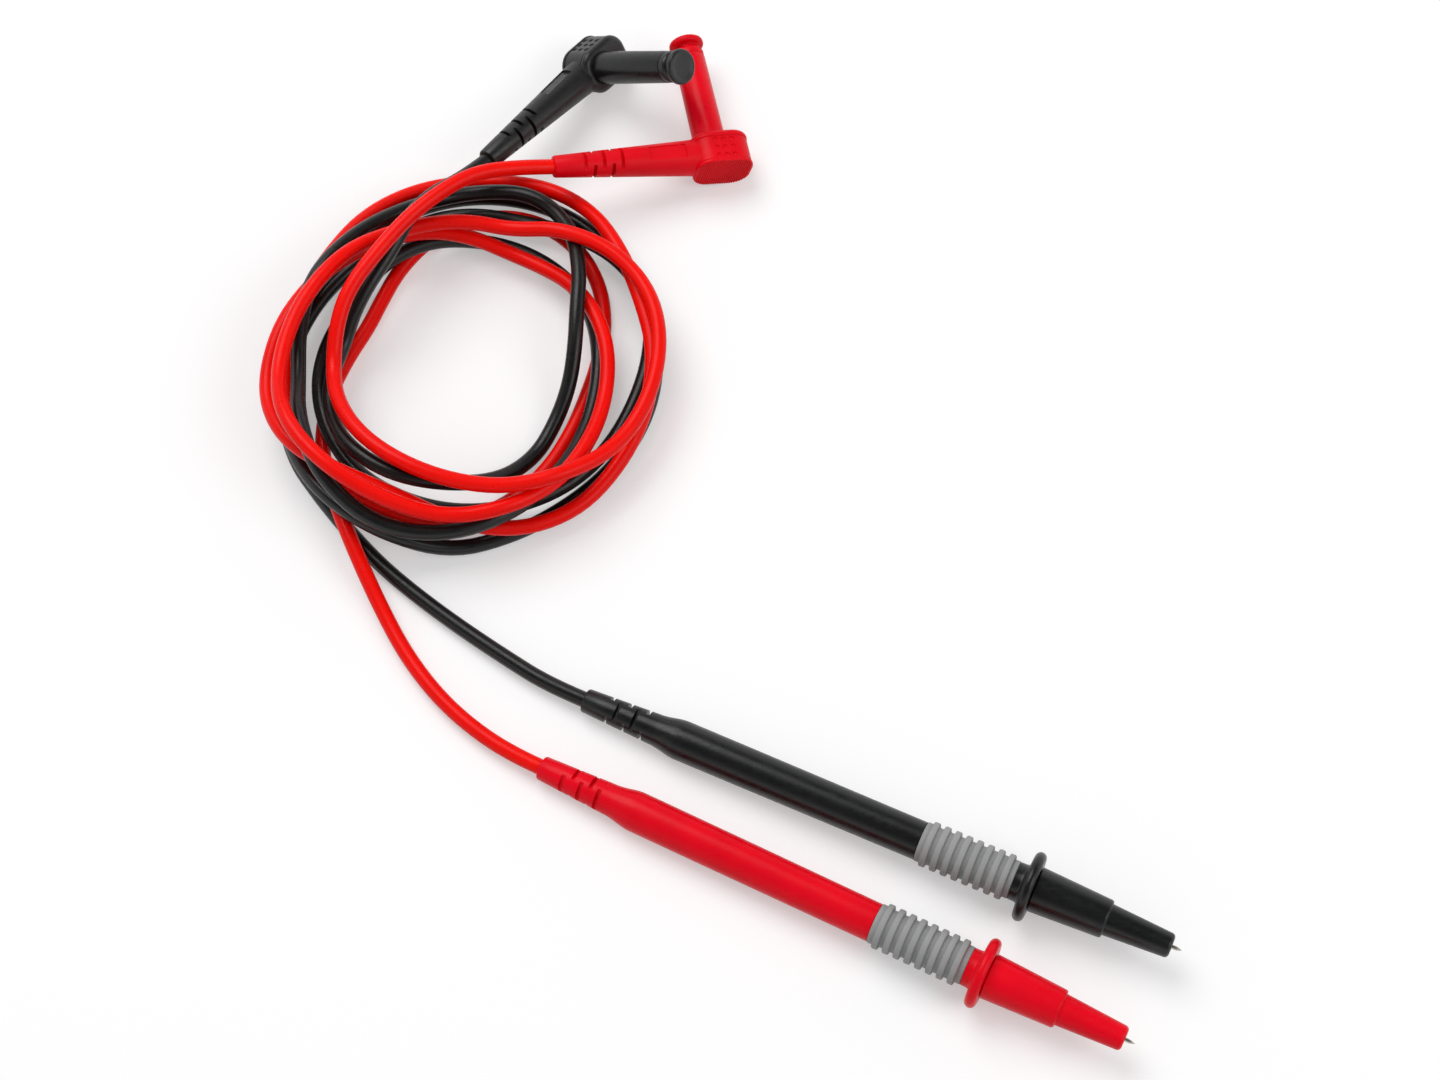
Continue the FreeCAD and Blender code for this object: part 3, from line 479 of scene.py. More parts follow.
def coil_points():
    """The stations of each coil with their heights, from the plug's side to the probe's."""
    samples, spans = [], {}
    for name, lead in LEADS.items():
        coil = [(x, y, CABLE_R) for x, y in coil_guides(lead)]
        rear = [lead["plug_start"]] + lead["rear"]
        front = lead["front"] + [lead["probe_start"] + (probe_height(0),)]
        start = len(samples)
        for place, (x, y, height) in enumerate(smooth(rear + coil + front)):
            order = lead["laid_later"] - (place / FINE_STEPS - len(rear)) / STATIONS
            samples.append(Sample(x, y, max(height, CABLE_R), name, place, order))
        first = start + FINE_STEPS * len(rear)
        spans[name] = range(first, first + FINE_STEPS * len(coil), FINE_STEPS)
    heights = lay(samples)
    print("highest strand", round(max(heights), 1), "mm")
    return {name: [(samples[k].x, samples[k].y, heights[k]) for k in places]
            for name, places in spans.items()}


coils = coil_points()
for name, points in coils.items():
    print(name, "coil", len(points), "points, top at", round(max(point[2] for point in points), 1), "mm")

# %% [markdown]
# A curve with a round bevel gives the cable itself. Its spline starts at the probe and ends in the
# plug, so its points are the ones above in reverse. The order and the end points are set once all
# points are there, because a spline that is still too short would quietly fall back to straight runs.

# %% Cable curves
MILLIMETRE = 0.001
ROUND_STEPS = 6
SPLINE_STEPS = 6


def make_cable(name, lead, coil):
    """One lead's cable, from the probe through the coil to the plug."""
    route = [lead["probe_start"] + (probe_height(0),)] + lead["front"][::-1] + coil[::-1]
    route += lead["rear"][::-1] + [lead["plug_start"]]
    line = bpy.data.curves.new(name, "CURVE")
    line.dimensions = "3D"
    spline = line.splines.new("NURBS")
    spline.points.add(len(route) - 1)
    for point, spot in zip(spline.points, route):
        point.co = (*(MILLIMETRE * value for value in spot), 1)
    spline.order_u = 3
    spline.use_endpoint_u = True
    spline.use_smooth = True
    line.resolution_u = SPLINE_STEPS
    line.bevel_depth = CABLE_R * MILLIMETRE
    line.bevel_resolution = ROUND_STEPS
    line.use_fill_caps = True
    cable = bpy.data.objects.new(name, line)
    bpy.context.collection.objects.link(cable)
    return cable


def spline_length(cable):
    """The length of a cable's middle line, read from the curve itself."""
    bare = cable.data.copy()
    bare.bevel_depth = 0
    holder = bpy.data.objects.new("measure", bare)
    bpy.context.collection.objects.link(holder)
    bpy.context.view_layer.update()
    mesh = bpy.data.meshes.new_from_object(holder)
    length = sum((mesh.vertices[a].co - mesh.vertices[b].co).length for a, b in
                 (edge.vertices for edge in mesh.edges))
    bpy.data.objects.remove(holder)
    bpy.data.curves.remove(bare)
    bpy.data.meshes.remove(mesh)
    return length


cables = {}
for colour in COLOURS:
    cables[colour] = make_cable(colour + "_cable", LEADS[colour], coils[colour])
    cables[colour].data.materials.append(FINISHES[colour + "_cable"])
    print(colour, "cable", round(spline_length(cables[colour]), 4), "m")

# %% [markdown]
# ## How the pieces are modelled
# Nearly every piece of a test lead is turned: it is round about one axis. Such a piece starts as a
# circle at one end, and is extruded and resized from ring to ring, as one would do by hand in edit
# mode. Places along the axis and radii are in millimetres, measured as in the construction model.
# Only when a piece is finished is it shrunk to metres, turned and moved to its place, and those
# transforms are applied, so that its object sits at the origin like those of the model.

# %% Where probes and plugs stand


def turned_to(along, across, up, place):
    """A frame in metres for a piece modelled in millimetres: three directions and an origin."""
    frame_of = Matrix((along, across, up)).transposed().to_4x4()
    return Matrix.Translation(MILLIMETRE * Vector(place)) @ frame_of @ Matrix.Scale(MILLIMETRE, 4)


def probe_frame(lead):
    """X along the probe to its tip, with the origin at the rear face of its strain relief."""
    yaw = math.radians(lead["probe_yaw"])
    slope = math.atan2(probe_height(1) - probe_height(0), 1)
    turn = Matrix.Rotation(yaw, 3, "Z") @ Matrix.Rotation(-slope, 3, "Y")
    return turned_to(*turn.transposed(), lead["probe_start"] + (probe_height(0),))


ARM_START = -43.4


def plug_frame(lead):
    """X along the arm, Y along the shroud, with the origin where their axes cross."""
    arm = Vector(lead["plug_arm"]).normalized()
    normal = arm.cross(Vector(lead["plug_shroud"])).normalized()
    return turned_to(arm, normal.cross(arm), normal, Vector(lead["plug_start"]) - ARM_START * arm)


def shroud_frame(lead):
    """X along the shroud, for what is turned about it."""
    return plug_frame(lead) @ Matrix.Rotation(math.pi / 2, 4, "Z")


for name, lead in LEADS.items():
    print(name, "probe at", [round(v, 4) for v in probe_frame(lead).translation],
          "plug at", [round(v, 4) for v in plug_frame(lead).translation])

# %% Turning tool
SIDES = 64
SAME_PLACE = 0.0005


def pick(*pieces):
    """Selects pieces and nothing else, with the first one active."""
    bpy.ops.object.select_all(action="DESELECT")
    for piece in pieces:
        piece.select_set(True)
    bpy.context.view_layer.objects.active = pieces[0]


def close_up():
    """Closes the open rings of the piece in edit mode, turns its normals outward and leaves edit mode."""
    bpy.ops.mesh.select_all(action="SELECT")
    bpy.ops.mesh.fill_holes(sides=0)
    bpy.ops.mesh.select_all(action="SELECT")
    bpy.ops.mesh.normals_make_consistent(inside=False)
    bpy.ops.object.mode_set(mode="OBJECT")


def rings_at(place, radius, steps):
    """Rings round one corner of a profile, each so far along X and so far outward from it."""
    return [(place + along, radius + out) for along, out in steps]


def turn(name, profile, sides=SIDES, closed=True):
    """A piece turned about X from pairs of place and radius; a closed one ends where it started."""
    place, radius = profile[0]
    bpy.ops.mesh.primitive_circle_add(
        vertices=sides, radius=radius, fill_type="NOTHING", location=(place, 0, 0),
        rotation=(0, math.pi / 2, 0))
    piece = bpy.context.object
    piece.name = name
    bpy.ops.object.transform_apply(location=True, rotation=True, scale=True)
    bpy.ops.object.mode_set(mode="EDIT")
    bpy.ops.mesh.select_all(action="SELECT")
    rings = profile[1:] + profile[:1] if closed else profile[1:]
    for next_place, next_radius in rings:
        bpy.ops.mesh.extrude_edges_move(TRANSFORM_OT_translate={"value": (next_place - place, 0, 0)})
        factor = next_radius / radius
        bpy.ops.transform.resize(value=(1, factor, factor), center_override=(next_place, 0, 0))
        place, radius = next_place, next_radius
    bpy.ops.mesh.select_all(action="SELECT")
    bpy.ops.mesh.remove_doubles(threshold=SAME_PLACE)
    close_up()
    return piece


# %% Cutting and joining tools


def cut(piece, tool, operation="DIFFERENCE"):
    """Cuts a tool out of a piece, or joins it on, and removes the tool."""
    pick(piece)
    modifier = piece.modifiers.new("cut", "BOOLEAN")
    modifier.object = tool
    modifier.operation = operation
    modifier.solver = "EXACT"
    bpy.ops.object.modifier_apply(modifier=modifier.name)
    bpy.data.objects.remove(tool)


def join(parts, name):
    """Joins loose pieces into one object with its transforms applied."""
    pick(*parts)
    bpy.ops.object.transform_apply(location=True, rotation=True, scale=True)
    if len(parts) > 1:
        bpy.ops.object.join()
    bpy.context.object.name = name
    return bpy.context.object


def boxes(name, rows, roll=0):
    """One cutting tool made of boxes, given as (middle, size), rolled about X."""
    parts = []
    for middle, size in rows:
        bpy.ops.mesh.primitive_cube_add(size=1, location=middle, scale=size)
        parts.append(bpy.context.object)
    tool = join(parts, name)
    tool.rotation_euler = (math.radians(roll), 0, 0)
    bpy.ops.object.transform_apply(location=True, rotation=True, scale=True)
    return tool


# %% Slots of a strain relief
CUT_REACH = 9


def relief_boxes(name, first, pitch, count, width, web, direction, roll=0):
    """Boxes for a row of slots, cut from both sides along Y or Z down to a web."""
    depth = CUT_REACH - web
    rows = []
    for number in range(count):
        place = first + number * pitch
        for side in (1, -1):
            middle = side * (web + CUT_REACH) / 2
            if direction == "Y":
                rows.append(((place, middle, 0), (width, depth, 2 * CUT_REACH)))
            else:
                rows.append(((place, 0, middle), (width, 2 * CUT_REACH, depth)))
    return boxes(name, rows, roll)


# %% Finishing a piece
BODY_OF = {}
for body, members in frame["record"]["behaviour"]["bodies"].items():
    for node in members:
        BODY_OF[node] = body


def finish_piece(piece, node, place, smooth_below=32):
    """Shades a piece, moves it to its place and lets it stand for its node of the construction model."""
    pick(piece)
    piece.matrix_world = place
    bpy.ops.object.transform_apply(location=True, rotation=True, scale=True)
    bpy.ops.object.shade_smooth_by_angle(angle=math.radians(smooth_below))
    piece.data.materials.clear()
    piece.data.materials.append(FINISHES[slot_of[node]])
    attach(piece, BODY_OF[node])
    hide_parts(node)
    low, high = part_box(node)
    print(piece.name, len(piece.data.polygons), "faces; solid from", [round(v, 4) for v in low],
          "to", [round(v, 4) for v in high])
    return piece


# %% [markdown]
# ## The hand probe
# The handle is one moulding of hard plastic. At the rear it narrows to a slotted strain relief, whose
# cuts alternate from two directions so that it can bend every way with the cable. The swelling between
# relief and barrel is a smooth S, so it gets many rings, and the cuts are made with boxes.

# %% Handle
PLAY, EDGE = 0.02, 0.15
RELIEF_MOUTH = [(0, -0.45), (0.12, -0.18), (0.4, 0)]
RELIEF_END, RELIEF_REAR_R, RELIEF_FRONT_R = 19.2, 2.95, 3.85
FLARE_END, BARREL_REAR_R = 24.6, 4.85
BARREL_END, BARREL_FRONT_R = 87.1, 4.65
BARREL_TAPER = [(40, 4.82), (60, 4.75), (75, 4.69)]
CAVITY_START, CAVITY_R, CAVITY_CONE = 36.0, 3.25, 1
SWELL_EARLY, SWELL_LATE, SWELL_UNDER, SWELL_STEPS = 0.9, 1.0, 0.03, 12
SLOT_W, SLOT_PITCH, WEB_R = 1.05, 4.7, 2.2
SIDE_SLOT_AT, SIDE_SLOTS = 6.6, 3
TOP_SLOT_AT, TOP_SLOTS = 8.95, 2


def swelling():
    """Rings of the smooth S between relief and barrel."""
    start, end = RELIEF_END - SWELL_EARLY, FLARE_END + SWELL_LATE
    low = RELIEF_FRONT_R - SWELL_UNDER
    rings = []
    for step in range(SWELL_STEPS + 1):
        t = step / SWELL_STEPS
        rise = t * t * (3 - 2 * t)
        rings.append((start + t * (end - start), low + rise * (BARREL_REAR_R - low)))
    return rings


def make_handle(colour, lead):
    """The barrel with its relief, hollow in front for the front body and bored for the cable."""
    outside = rings_at(0, RELIEF_REAR_R, RELIEF_MOUTH) + swelling() + BARREL_TAPER
    outside += rings_at(BARREL_END, BARREL_FRONT_R, [(-EDGE, 0), (0, -EDGE)])
    bore_r = CABLE_R + PLAY
    inside = [(BARREL_END, CAVITY_R), (CAVITY_START, CAVITY_R), (CAVITY_START - CAVITY_CONE, bore_r),
              (0, bore_r)]
    handle = turn(colour + "_handle_piece", outside + inside)
    roll = lead["slot_roll"]
    cut(handle, relief_boxes("side_slots", SIDE_SLOT_AT, SLOT_PITCH, SIDE_SLOTS, SLOT_W, WEB_R, "Y", roll))
    cut(handle, relief_boxes("top_slots", TOP_SLOT_AT, SLOT_PITCH, TOP_SLOTS, SLOT_W, WEB_R, "Z", roll))
    return finish_piece(handle, colour + "_handle", probe_frame(lead))


for colour in COLOURS:
    make_handle(colour, LEADS[colour])

# %% [markdown]
# The grip is a soft grey sleeve between two shoulders. It starts with a plain collar, then come eight
# raised ribs and a short lower lip. Each rib has the small radius that rubber moulds leave, which is
# what catches the light.

# %% Grip sleeve
COLLAR_R, COLLAR_EDGE = 4.8, 0.1
RIBS, RIB_START, RIB_W, RIB_R, RIB_PITCH = 8, 88.4, 1.6, 5.5, 2.7
RIB_EDGE = [(0.05, 0.32), (0.14, 0.11), (0.32, 0.0)]
GROOVE_R = 4.6
SLEEVE_END, SPINDLE_R = 110.3, 3.7


def rib_rings(start, foot):
    """Rings of one rib, whose two edges are rounded alike, in from its side and down from its top."""
    end = start + RIB_W
    rising = [(start + inward, RIB_R - drop) for inward, drop in RIB_EDGE]
    falling = [(end - inward, RIB_R - drop) for inward, drop in reversed(RIB_EDGE)]
    return [(start, foot)] + rising + falling + [(end, GROOVE_R)]


def make_grip(colour, lead):
    """The ribbed sleeve, bored for the spindle of the front body."""
    rear = BARREL_END + PLAY
    outside = rings_at(rear, COLLAR_R, [(0, -COLLAR_EDGE), (COLLAR_EDGE, 0)])
    for rib in range(RIBS):
        outside += rib_rings(RIB_START + rib * RIB_PITCH, COLLAR_R if rib == 0 else GROOVE_R)
    outside += rings_at(SLEEVE_END, GROOVE_R, [(-EDGE, 0), (0, -EDGE)])
    inside = [(SLEEVE_END, SPINDLE_R), (rear, SPINDLE_R)]
    grip = turn(colour + "_grip_piece", outside + inside, sides=80)
    return finish_piece(grip, colour + "_grip_sleeve", probe_frame(lead))


for colour in COLOURS:
    make_grip(colour, LEADS[colour])

# %% [markdown]
# In front of the grip the hard plastic shows again: a short neck, then the finger guard, a disc with
# a fully rounded rim that runs into the neck with a small fillet. Behind them a spindle carries the
# grip, and in front a spigot carries the tip cover. They are one piece, turned in one go.

# %% Front body with its finger guard
TAIL_START, NECK_R = 75.0, 4.55
GUARD_START, GUARD_END, GUARD_R, GUARD_FOOT_R = 112.7, 115.4, 8.5, 5.5
NECK_FILLET = [(-0.9, 0.02), (-0.45, 0.12), (-0.12, 0.4)]
RIM_STEPS, RIM_FOOT = 10, 0.12
SPIGOT_R, SPIGOT_END, SPIGOT_FILLET, SPIGOT_CHAMFER = 3.4, 128.8, 0.3, 0.6
NEEDLE_R = 1.0


def rounded_rim(start, end, radius, foot):
    """Rings of a disc whose rim is a half circle, from its foot on one side to the other."""
    middle, half = (start + end) / 2, (end - start) / 2
    rings = []
    for step in range(RIM_STEPS + 1):
        angle = math.pi * step / RIM_STEPS
        rings.append((middle - half * math.cos(angle), radius - half + half * math.sin(angle)))
    return [(start + RIM_FOOT, foot)] + rings + [(end - RIM_FOOT, foot)]


def make_front_body(colour, lead):
    """Tail, spindle, neck, guard and spigot in one piece, bored for the needle."""
    bore_r, tail_r, spindle_r = NEEDLE_R + PLAY, CAVITY_R - PLAY, SPINDLE_R - PLAY
    profile = [(TAIL_START, bore_r), (TAIL_START, tail_r), (BARREL_END, tail_r), (BARREL_END, spindle_r),
               (SLEEVE_END, spindle_r), (SLEEVE_END + PLAY, NECK_R - EDGE), (SLEEVE_END + EDGE, NECK_R)]
    profile += rings_at(GUARD_START, NECK_R, NECK_FILLET)
    profile += rounded_rim(GUARD_START, GUARD_END, GUARD_R, GUARD_FOOT_R)
    profile += rings_at(GUARD_END, SPIGOT_R, [(0, SPIGOT_FILLET), (SPIGOT_FILLET, 0)])
    profile += rings_at(SPIGOT_END, SPIGOT_R, [(-SPIGOT_CHAMFER, 0), (0, -SPIGOT_CHAMFER)])
    profile += [(SPIGOT_END, bore_r)]
    body = turn(colour + "_front_body_piece", profile, sides=80)
    return finish_piece(body, colour + "_front_body", probe_frame(lead), smooth_below=38)


for colour in COLOURS:
    make_front_body(colour, LEADS[colour])

# %% [markdown]
# The pull-off tip cover is a wide cone, then a rounded shoulder, then a slim nose with a blunt end
# through which the needle's point looks out. It is a shell: its bore fits the spigot behind and the
# needle in front, which shows when the cover is pulled off.

# %% Tip cover
COVER_START, COVER_REAR_R, COVER_EDGE, COVER_CHAMFER = 115.48, 5.4, 0.2, 0.1
COVER_SHOULDER, COVER_FRONT_R = 133.2, 4.6
SHOULDER_ROUND = [(-0.6, 0.03), (-0.3, -0.04), (-0.1, -0.18), (0, -0.42)]
COVER_FLOOR, COVER_BORE_R = 129.8, 3.48
NOSE_REAR_R, NOSE_END, NOSE_FRONT_R = 3.8, 148.8, 2.95
NOSE_FOOT = [(0, 0.14), (0.12, 0.02), (0.4, -0.02)]
NOSE_ROUND = [(-0.9, 0.02), (-0.55, -0.07), (-0.2, -0.36), (0, -0.8)]
MOUTH_EDGE = [(0, 0.12), (-0.12, 0)]
TIP_HOLE_R, NEEDLE_HOLE_R = 0.62, 1.15
NEEDLE_THIN = 146.9


def make_tip_cover(colour, lead):
    """The cover's shell: outside from rear to tip, then the bore back to the rear."""
    outside = [(COVER_START, COVER_BORE_R + COVER_CHAMFER)]
    outside += rings_at(COVER_START, COVER_REAR_R, [(0, -COVER_EDGE), (COVER_EDGE, 0)])
    outside += rings_at(COVER_SHOULDER, COVER_FRONT_R, SHOULDER_ROUND)
    outside += rings_at(COVER_SHOULDER, NOSE_REAR_R, NOSE_FOOT)
    outside += rings_at(NOSE_END, NOSE_FRONT_R, NOSE_ROUND)
    outside += rings_at(NOSE_END, TIP_HOLE_R, MOUTH_EDGE)
    inside = [(NEEDLE_THIN, TIP_HOLE_R), (NEEDLE_THIN, NEEDLE_HOLE_R), (COVER_FLOOR, NEEDLE_HOLE_R),
              (COVER_FLOOR, COVER_BORE_R), (COVER_START + COVER_CHAMFER, COVER_BORE_R)]
    cover = turn(colour + "_tip_cover_piece", outside + inside, sides=72)
    return finish_piece(cover, colour + "_tip_cover", probe_frame(lead), smooth_below=34)


for colour in COLOURS:
    make_tip_cover(colour, LEADS[colour])

# %% [markdown]
# The needle is plain steel wire with a thinner front and a fine point. With the cover on, only the
# point shows. It keeps its full length here, because the cover can be pulled off.

# %% Needle
NEEDLE_START, NEEDLE_CHAMFER = 66.0, 0.1
NEEDLE_STEP, NEEDLE_THIN_R, NEEDLE_END = 145.2, 0.5, 151.2
NEEDLE_POINT = [(-1.7, 0), (-1.2, -0.06), (-0.6, -0.24), (-0.1, -0.42), (0, -0.48)]


def make_needle(colour, lead):
    """The whole needle, most of it inside the probe."""
    profile = rings_at(NEEDLE_START, NEEDLE_R, [(0, -NEEDLE_CHAMFER), (NEEDLE_CHAMFER, 0)])
    profile += [(NEEDLE_STEP, NEEDLE_R), (NEEDLE_THIN, NEEDLE_THIN_R)]
    profile += rings_at(NEEDLE_END, NEEDLE_THIN_R, NEEDLE_POINT)
    needle = turn(colour + "_needle_piece", profile, sides=32, closed=False)
    return finish_piece(needle, colour + "_probe_needle", probe_frame(lead), smooth_below=40)


for colour in COLOURS:
    make_needle(colour, LEADS[colour])

# %% [markdown]
# ## The right-angle plug
# The plug is a softer moulding: a tapered arm with a slotted relief, and a boxy head across its end.
# The head's outline is a rectangle with very round corners. It is extruded along the shroud's axis
# and resized ring by ring, which gives the overhanging rim of the press pad at one end and the thick
# rounded flange round the shroud at the other. Arm and head are then joined, and the cuts are made:
# flats, slots, dimples, the ribs of the press pad and the bores.

# %% Head of the plug
HEAD_MIDDLE, HEAD_HALF_X, HEAD_HALF_Z = 1.75, 7.85, 6.1
HEAD_CORNER, CORNER_STEPS = 4.7, 14
HEAD_SIDE = -0.16
PAD_FACE, FLANGE_FACE = -4.95, 4.95
HEAD_RINGS = [
    (PAD_FACE, -0.42), (-4.85, -0.18), (-4.62, -0.04), (-4.3, 0.0), (-4.05, -0.04), (-3.92, -0.3),
    (-3.8, -0.32), (-3.6, HEAD_SIDE), (2.5, HEAD_SIDE), (2.64, -0.32), (2.76, -0.3), (2.95, -0.05),
    (3.3, 0.0), (3.7, -0.03), (4.1, -0.17), (4.45, -0.42), (4.72, -0.78), (4.88, -1.15),
    (FLANGE_FACE, -1.5),
]


def make_head(name):
    """The block of the head, from the press pad's face to the shroud's face."""
    place, inset = HEAD_RINGS[0]
    centre = (HEAD_MIDDLE, place, 0)
    bpy.ops.mesh.primitive_plane_add(size=2, location=centre, rotation=(math.pi / 2, 0, 0))
    head = bpy.context.object
    head.name = name
    bpy.ops.object.transform_apply(location=True, rotation=True, scale=True)
    bpy.ops.object.mode_set(mode="EDIT")
    bpy.ops.mesh.select_all(action="SELECT")
    bpy.ops.transform.resize(value=(HEAD_HALF_X, 1, HEAD_HALF_Z), center_override=centre)
    bpy.ops.mesh.bevel(offset=HEAD_CORNER, offset_type="OFFSET", segments=CORNER_STEPS, affect="VERTICES")
    shrink = [1 + inset / half for half in (HEAD_HALF_X, HEAD_HALF_Z)]
    bpy.ops.transform.resize(value=(shrink[0], 1, shrink[1]), center_override=centre)
    for next_place, next_inset in HEAD_RINGS[1:]:
        bpy.ops.mesh.extrude_region_move(TRANSFORM_OT_translate={"value": (0, next_place - place, 0)})
        grow = [(half + next_inset) / (half + inset) for half in (HEAD_HALF_X, HEAD_HALF_Z)]
        centre = (HEAD_MIDDLE, next_place, 0)
        bpy.ops.transform.resize(value=(grow[0], 1, grow[1]), center_override=centre)
        place, inset = next_place, next_inset
    close_up()
    return head


# %% Cutting tools of the plug
ARM_MID, ARM_MID_R, ARM_REAR_R = -23.9, 3.83, 2.85
ARM_END, ARM_FRONT_R = -5.4, 4.75
FLAT_START, FLAT_LENGTH, FLAT_W, FLAT_DEPTH, FLAT_TOOL_H = -18.4, 10.1, 4.0, 0.22, 2
DIMPLE_U, DIMPLE_W, DIMPLE_AT, DIMPLE_BALL, DIMPLE_DEPTH = 2.2, 2.3, -0.6, 0.7, 0.55
PAD_RIBS, PAD_RIB_PITCH, PAD_RIB_DEPTH = 22, 0.64, 0.31
PAD_BAR_OUT, PAD_BAR_LENGTH = 0.01, 20


def flat_tool():
    """Boxes that cut a level panel in the upper and the under side of the arm, along its taper."""
    slope = math.atan2(ARM_FRONT_R - ARM_MID_R, ARM_END - ARM_MID)
    middle = FLAT_START + FLAT_LENGTH / 2
    radius = ARM_MID_R + (middle - ARM_MID) * math.tan(slope)
    height = math.sqrt(radius ** 2 - (FLAT_W / 2) ** 2) + FLAT_TOOL_H / 2 - FLAT_DEPTH
    tools = []
    for side in (1, -1):
        bpy.ops.mesh.primitive_cube_add(
            size=1, location=(middle, 0, side * height), rotation=(0, -side * slope, 0),
            scale=(FLAT_LENGTH, FLAT_W, FLAT_TOOL_H))
        tools.append(bpy.context.object)
    return join(tools, "flats")


def dimple_tool():
    """Balls that press three rows of three pits into both flat sides of the head."""
    balls = []
    for side in (1, -1):
        height = side * (HEAD_HALF_Z + HEAD_SIDE + DIMPLE_BALL - DIMPLE_DEPTH)
        for along in (-1, 0, 1):
            for across in (-1, 0, 1):
                spot = (HEAD_MIDDLE + along * DIMPLE_U, DIMPLE_AT + across * DIMPLE_W, height)
                bpy.ops.mesh.primitive_uv_sphere_add(
                    segments=20, ring_count=12, radius=DIMPLE_BALL, location=spot)
                balls.append(bpy.context.object)
    return join(balls, "dimples")


def pad_tool():
    """Bars on edge that cut the fine ribs of the press pad."""
    width = PAD_RIB_DEPTH * math.sqrt(2)
    bars = []
    for number in range(PAD_RIBS):
        along = (number - (PAD_RIBS - 1) / 2) * PAD_RIB_PITCH
        bpy.ops.mesh.primitive_cube_add(
            size=1, location=(HEAD_MIDDLE + along, PAD_FACE - PAD_BAR_OUT, 0),
            rotation=(0, 0, math.pi / 4), scale=(width, width, PAD_BAR_LENGTH))
        bars.append(bpy.context.object)
    return join(bars, "pad_grooves")


def bore_tool(name, radius, start, end, along):
    """A round bar from start to end along X or Y."""
    middle = (start + end) / 2
    turn_by = (0, math.pi / 2, 0) if along == "X" else (math.pi / 2, 0, 0)
    spot = (middle, 0, 0) if along == "X" else (0, middle, 0)
    bpy.ops.mesh.primitive_cylinder_add(
        vertices=SIDES, radius=radius, depth=end - start, location=spot, rotation=turn_by)
    return join([bpy.context.object], name)


# %% Plug body
ARM_MOUTH = [(0, -0.4), (0.1, -0.15), (0.4, 0)]
ARM_SHOULDER = [(-2.0, -0.14), (-1.0, -0.06), (0, 0)]
ARM_SWELL = 0.05
ARM_SLOT_W, ARM_SLOT_PITCH, ARM_WEB = 0.95, 4.9, 1.85
FLAT_SLOT_AT, FLAT_SLOTS = -35.4, 3
EDGE_SLOT_AT, EDGE_SLOTS = -32.95, 2
CABLE_BORE_START, CABLE_BORE_END = -45.4, -9
SHROUD_ROOT_R, SHROUD_SEAT, SHROUD_BORE_END = 4.35, 2.6, 7


def make_plug_body(colour, lead):
    """Arm and head in one moulding, with every cut made."""
    profile = rings_at(ARM_START, ARM_REAR_R, ARM_MOUTH) + [(ARM_MID, ARM_MID_R)]
    profile += rings_at(ARM_END, ARM_FRONT_R + ARM_SWELL, ARM_SHOULDER) + [(0, ARM_FRONT_R + ARM_SWELL)]
    body = turn(colour + "_plug_body_piece", profile, closed=False)
    cut(body, make_head("head"), "UNION")
    cut(body, flat_tool())
    cut(body, relief_boxes("flat_slots", FLAT_SLOT_AT, ARM_SLOT_PITCH, FLAT_SLOTS, ARM_SLOT_W, ARM_WEB, "Z"))
    cut(body, relief_boxes("edge_slots", EDGE_SLOT_AT, ARM_SLOT_PITCH, EDGE_SLOTS, ARM_SLOT_W, ARM_WEB, "Y"))
    cut(body, dimple_tool())
    cut(body, pad_tool())
    cut(body, bore_tool("cable_bore", CABLE_R + PLAY, CABLE_BORE_START, CABLE_BORE_END, "X"))
    cut(body, bore_tool("shroud_bore", SHROUD_ROOT_R + PLAY, SHROUD_SEAT, SHROUD_BORE_END, "Y"))
    return finish_piece(body, colour + "_plug_body", plug_frame(lead), smooth_below=30)


for colour in COLOURS:
    make_plug_body(colour, LEADS[colour])

# %% [markdown]
# The hard shroud stands in the head's flange with a small flared root. The banana pin and its slotted
# lantern spring sit inside, where the pulled-off cap leaves them in view.

# %% Shroud
SHROUD_FLOOR, SHROUD_END, SHROUD_TIP_R, SHROUD_BORE_R = 7.0, 29.95, 4.1, 3.45
SHROUD_FLARE = [(0, 0), (0.45, -0.02)]
SHROUD_RIM = [(-0.35, 0.01), (-0.1, -0.08), (0, -0.3)]
TAIL_R = 1.5


def make_shroud(colour, lead):
    """The tube round the pin, with a floor that the pin's tail passes through."""
    hole_r = TAIL_R + PLAY
    profile = [(SHROUD_SEAT, hole_r), (SHROUD_SEAT, SHROUD_ROOT_R)]
    profile += rings_at(FLANGE_FACE, SHROUD_ROOT_R, SHROUD_FLARE)
    profile += rings_at(SHROUD_END, SHROUD_TIP_R, SHROUD_RIM)
    profile += rings_at(SHROUD_END, SHROUD_BORE_R, MOUTH_EDGE)
    profile += [(SHROUD_FLOOR, SHROUD_BORE_R), (SHROUD_FLOOR, hole_r)]
    shroud = turn(colour + "_shroud_piece", profile, sides=72)
    return finish_piece(shroud, colour + "_plug_shroud", shroud_frame(lead), smooth_below=34)


# %% Pin
TAIL_END = -2.2
FLANGE_END, FLANGE_R = 8.0, 3.0
PIN_COLLAR_END, PIN_R, PIN_EDGE = 10.2, 2.0, 0.2
WAIST_R, WAIST_END, PIN_END = 1.4, 21.6, 28.0
PIN_NOSE = [(-1.2, 0), (-0.7, -0.13), (-0.3, -0.4), (-0.08, -0.8), (0, -1.3)]


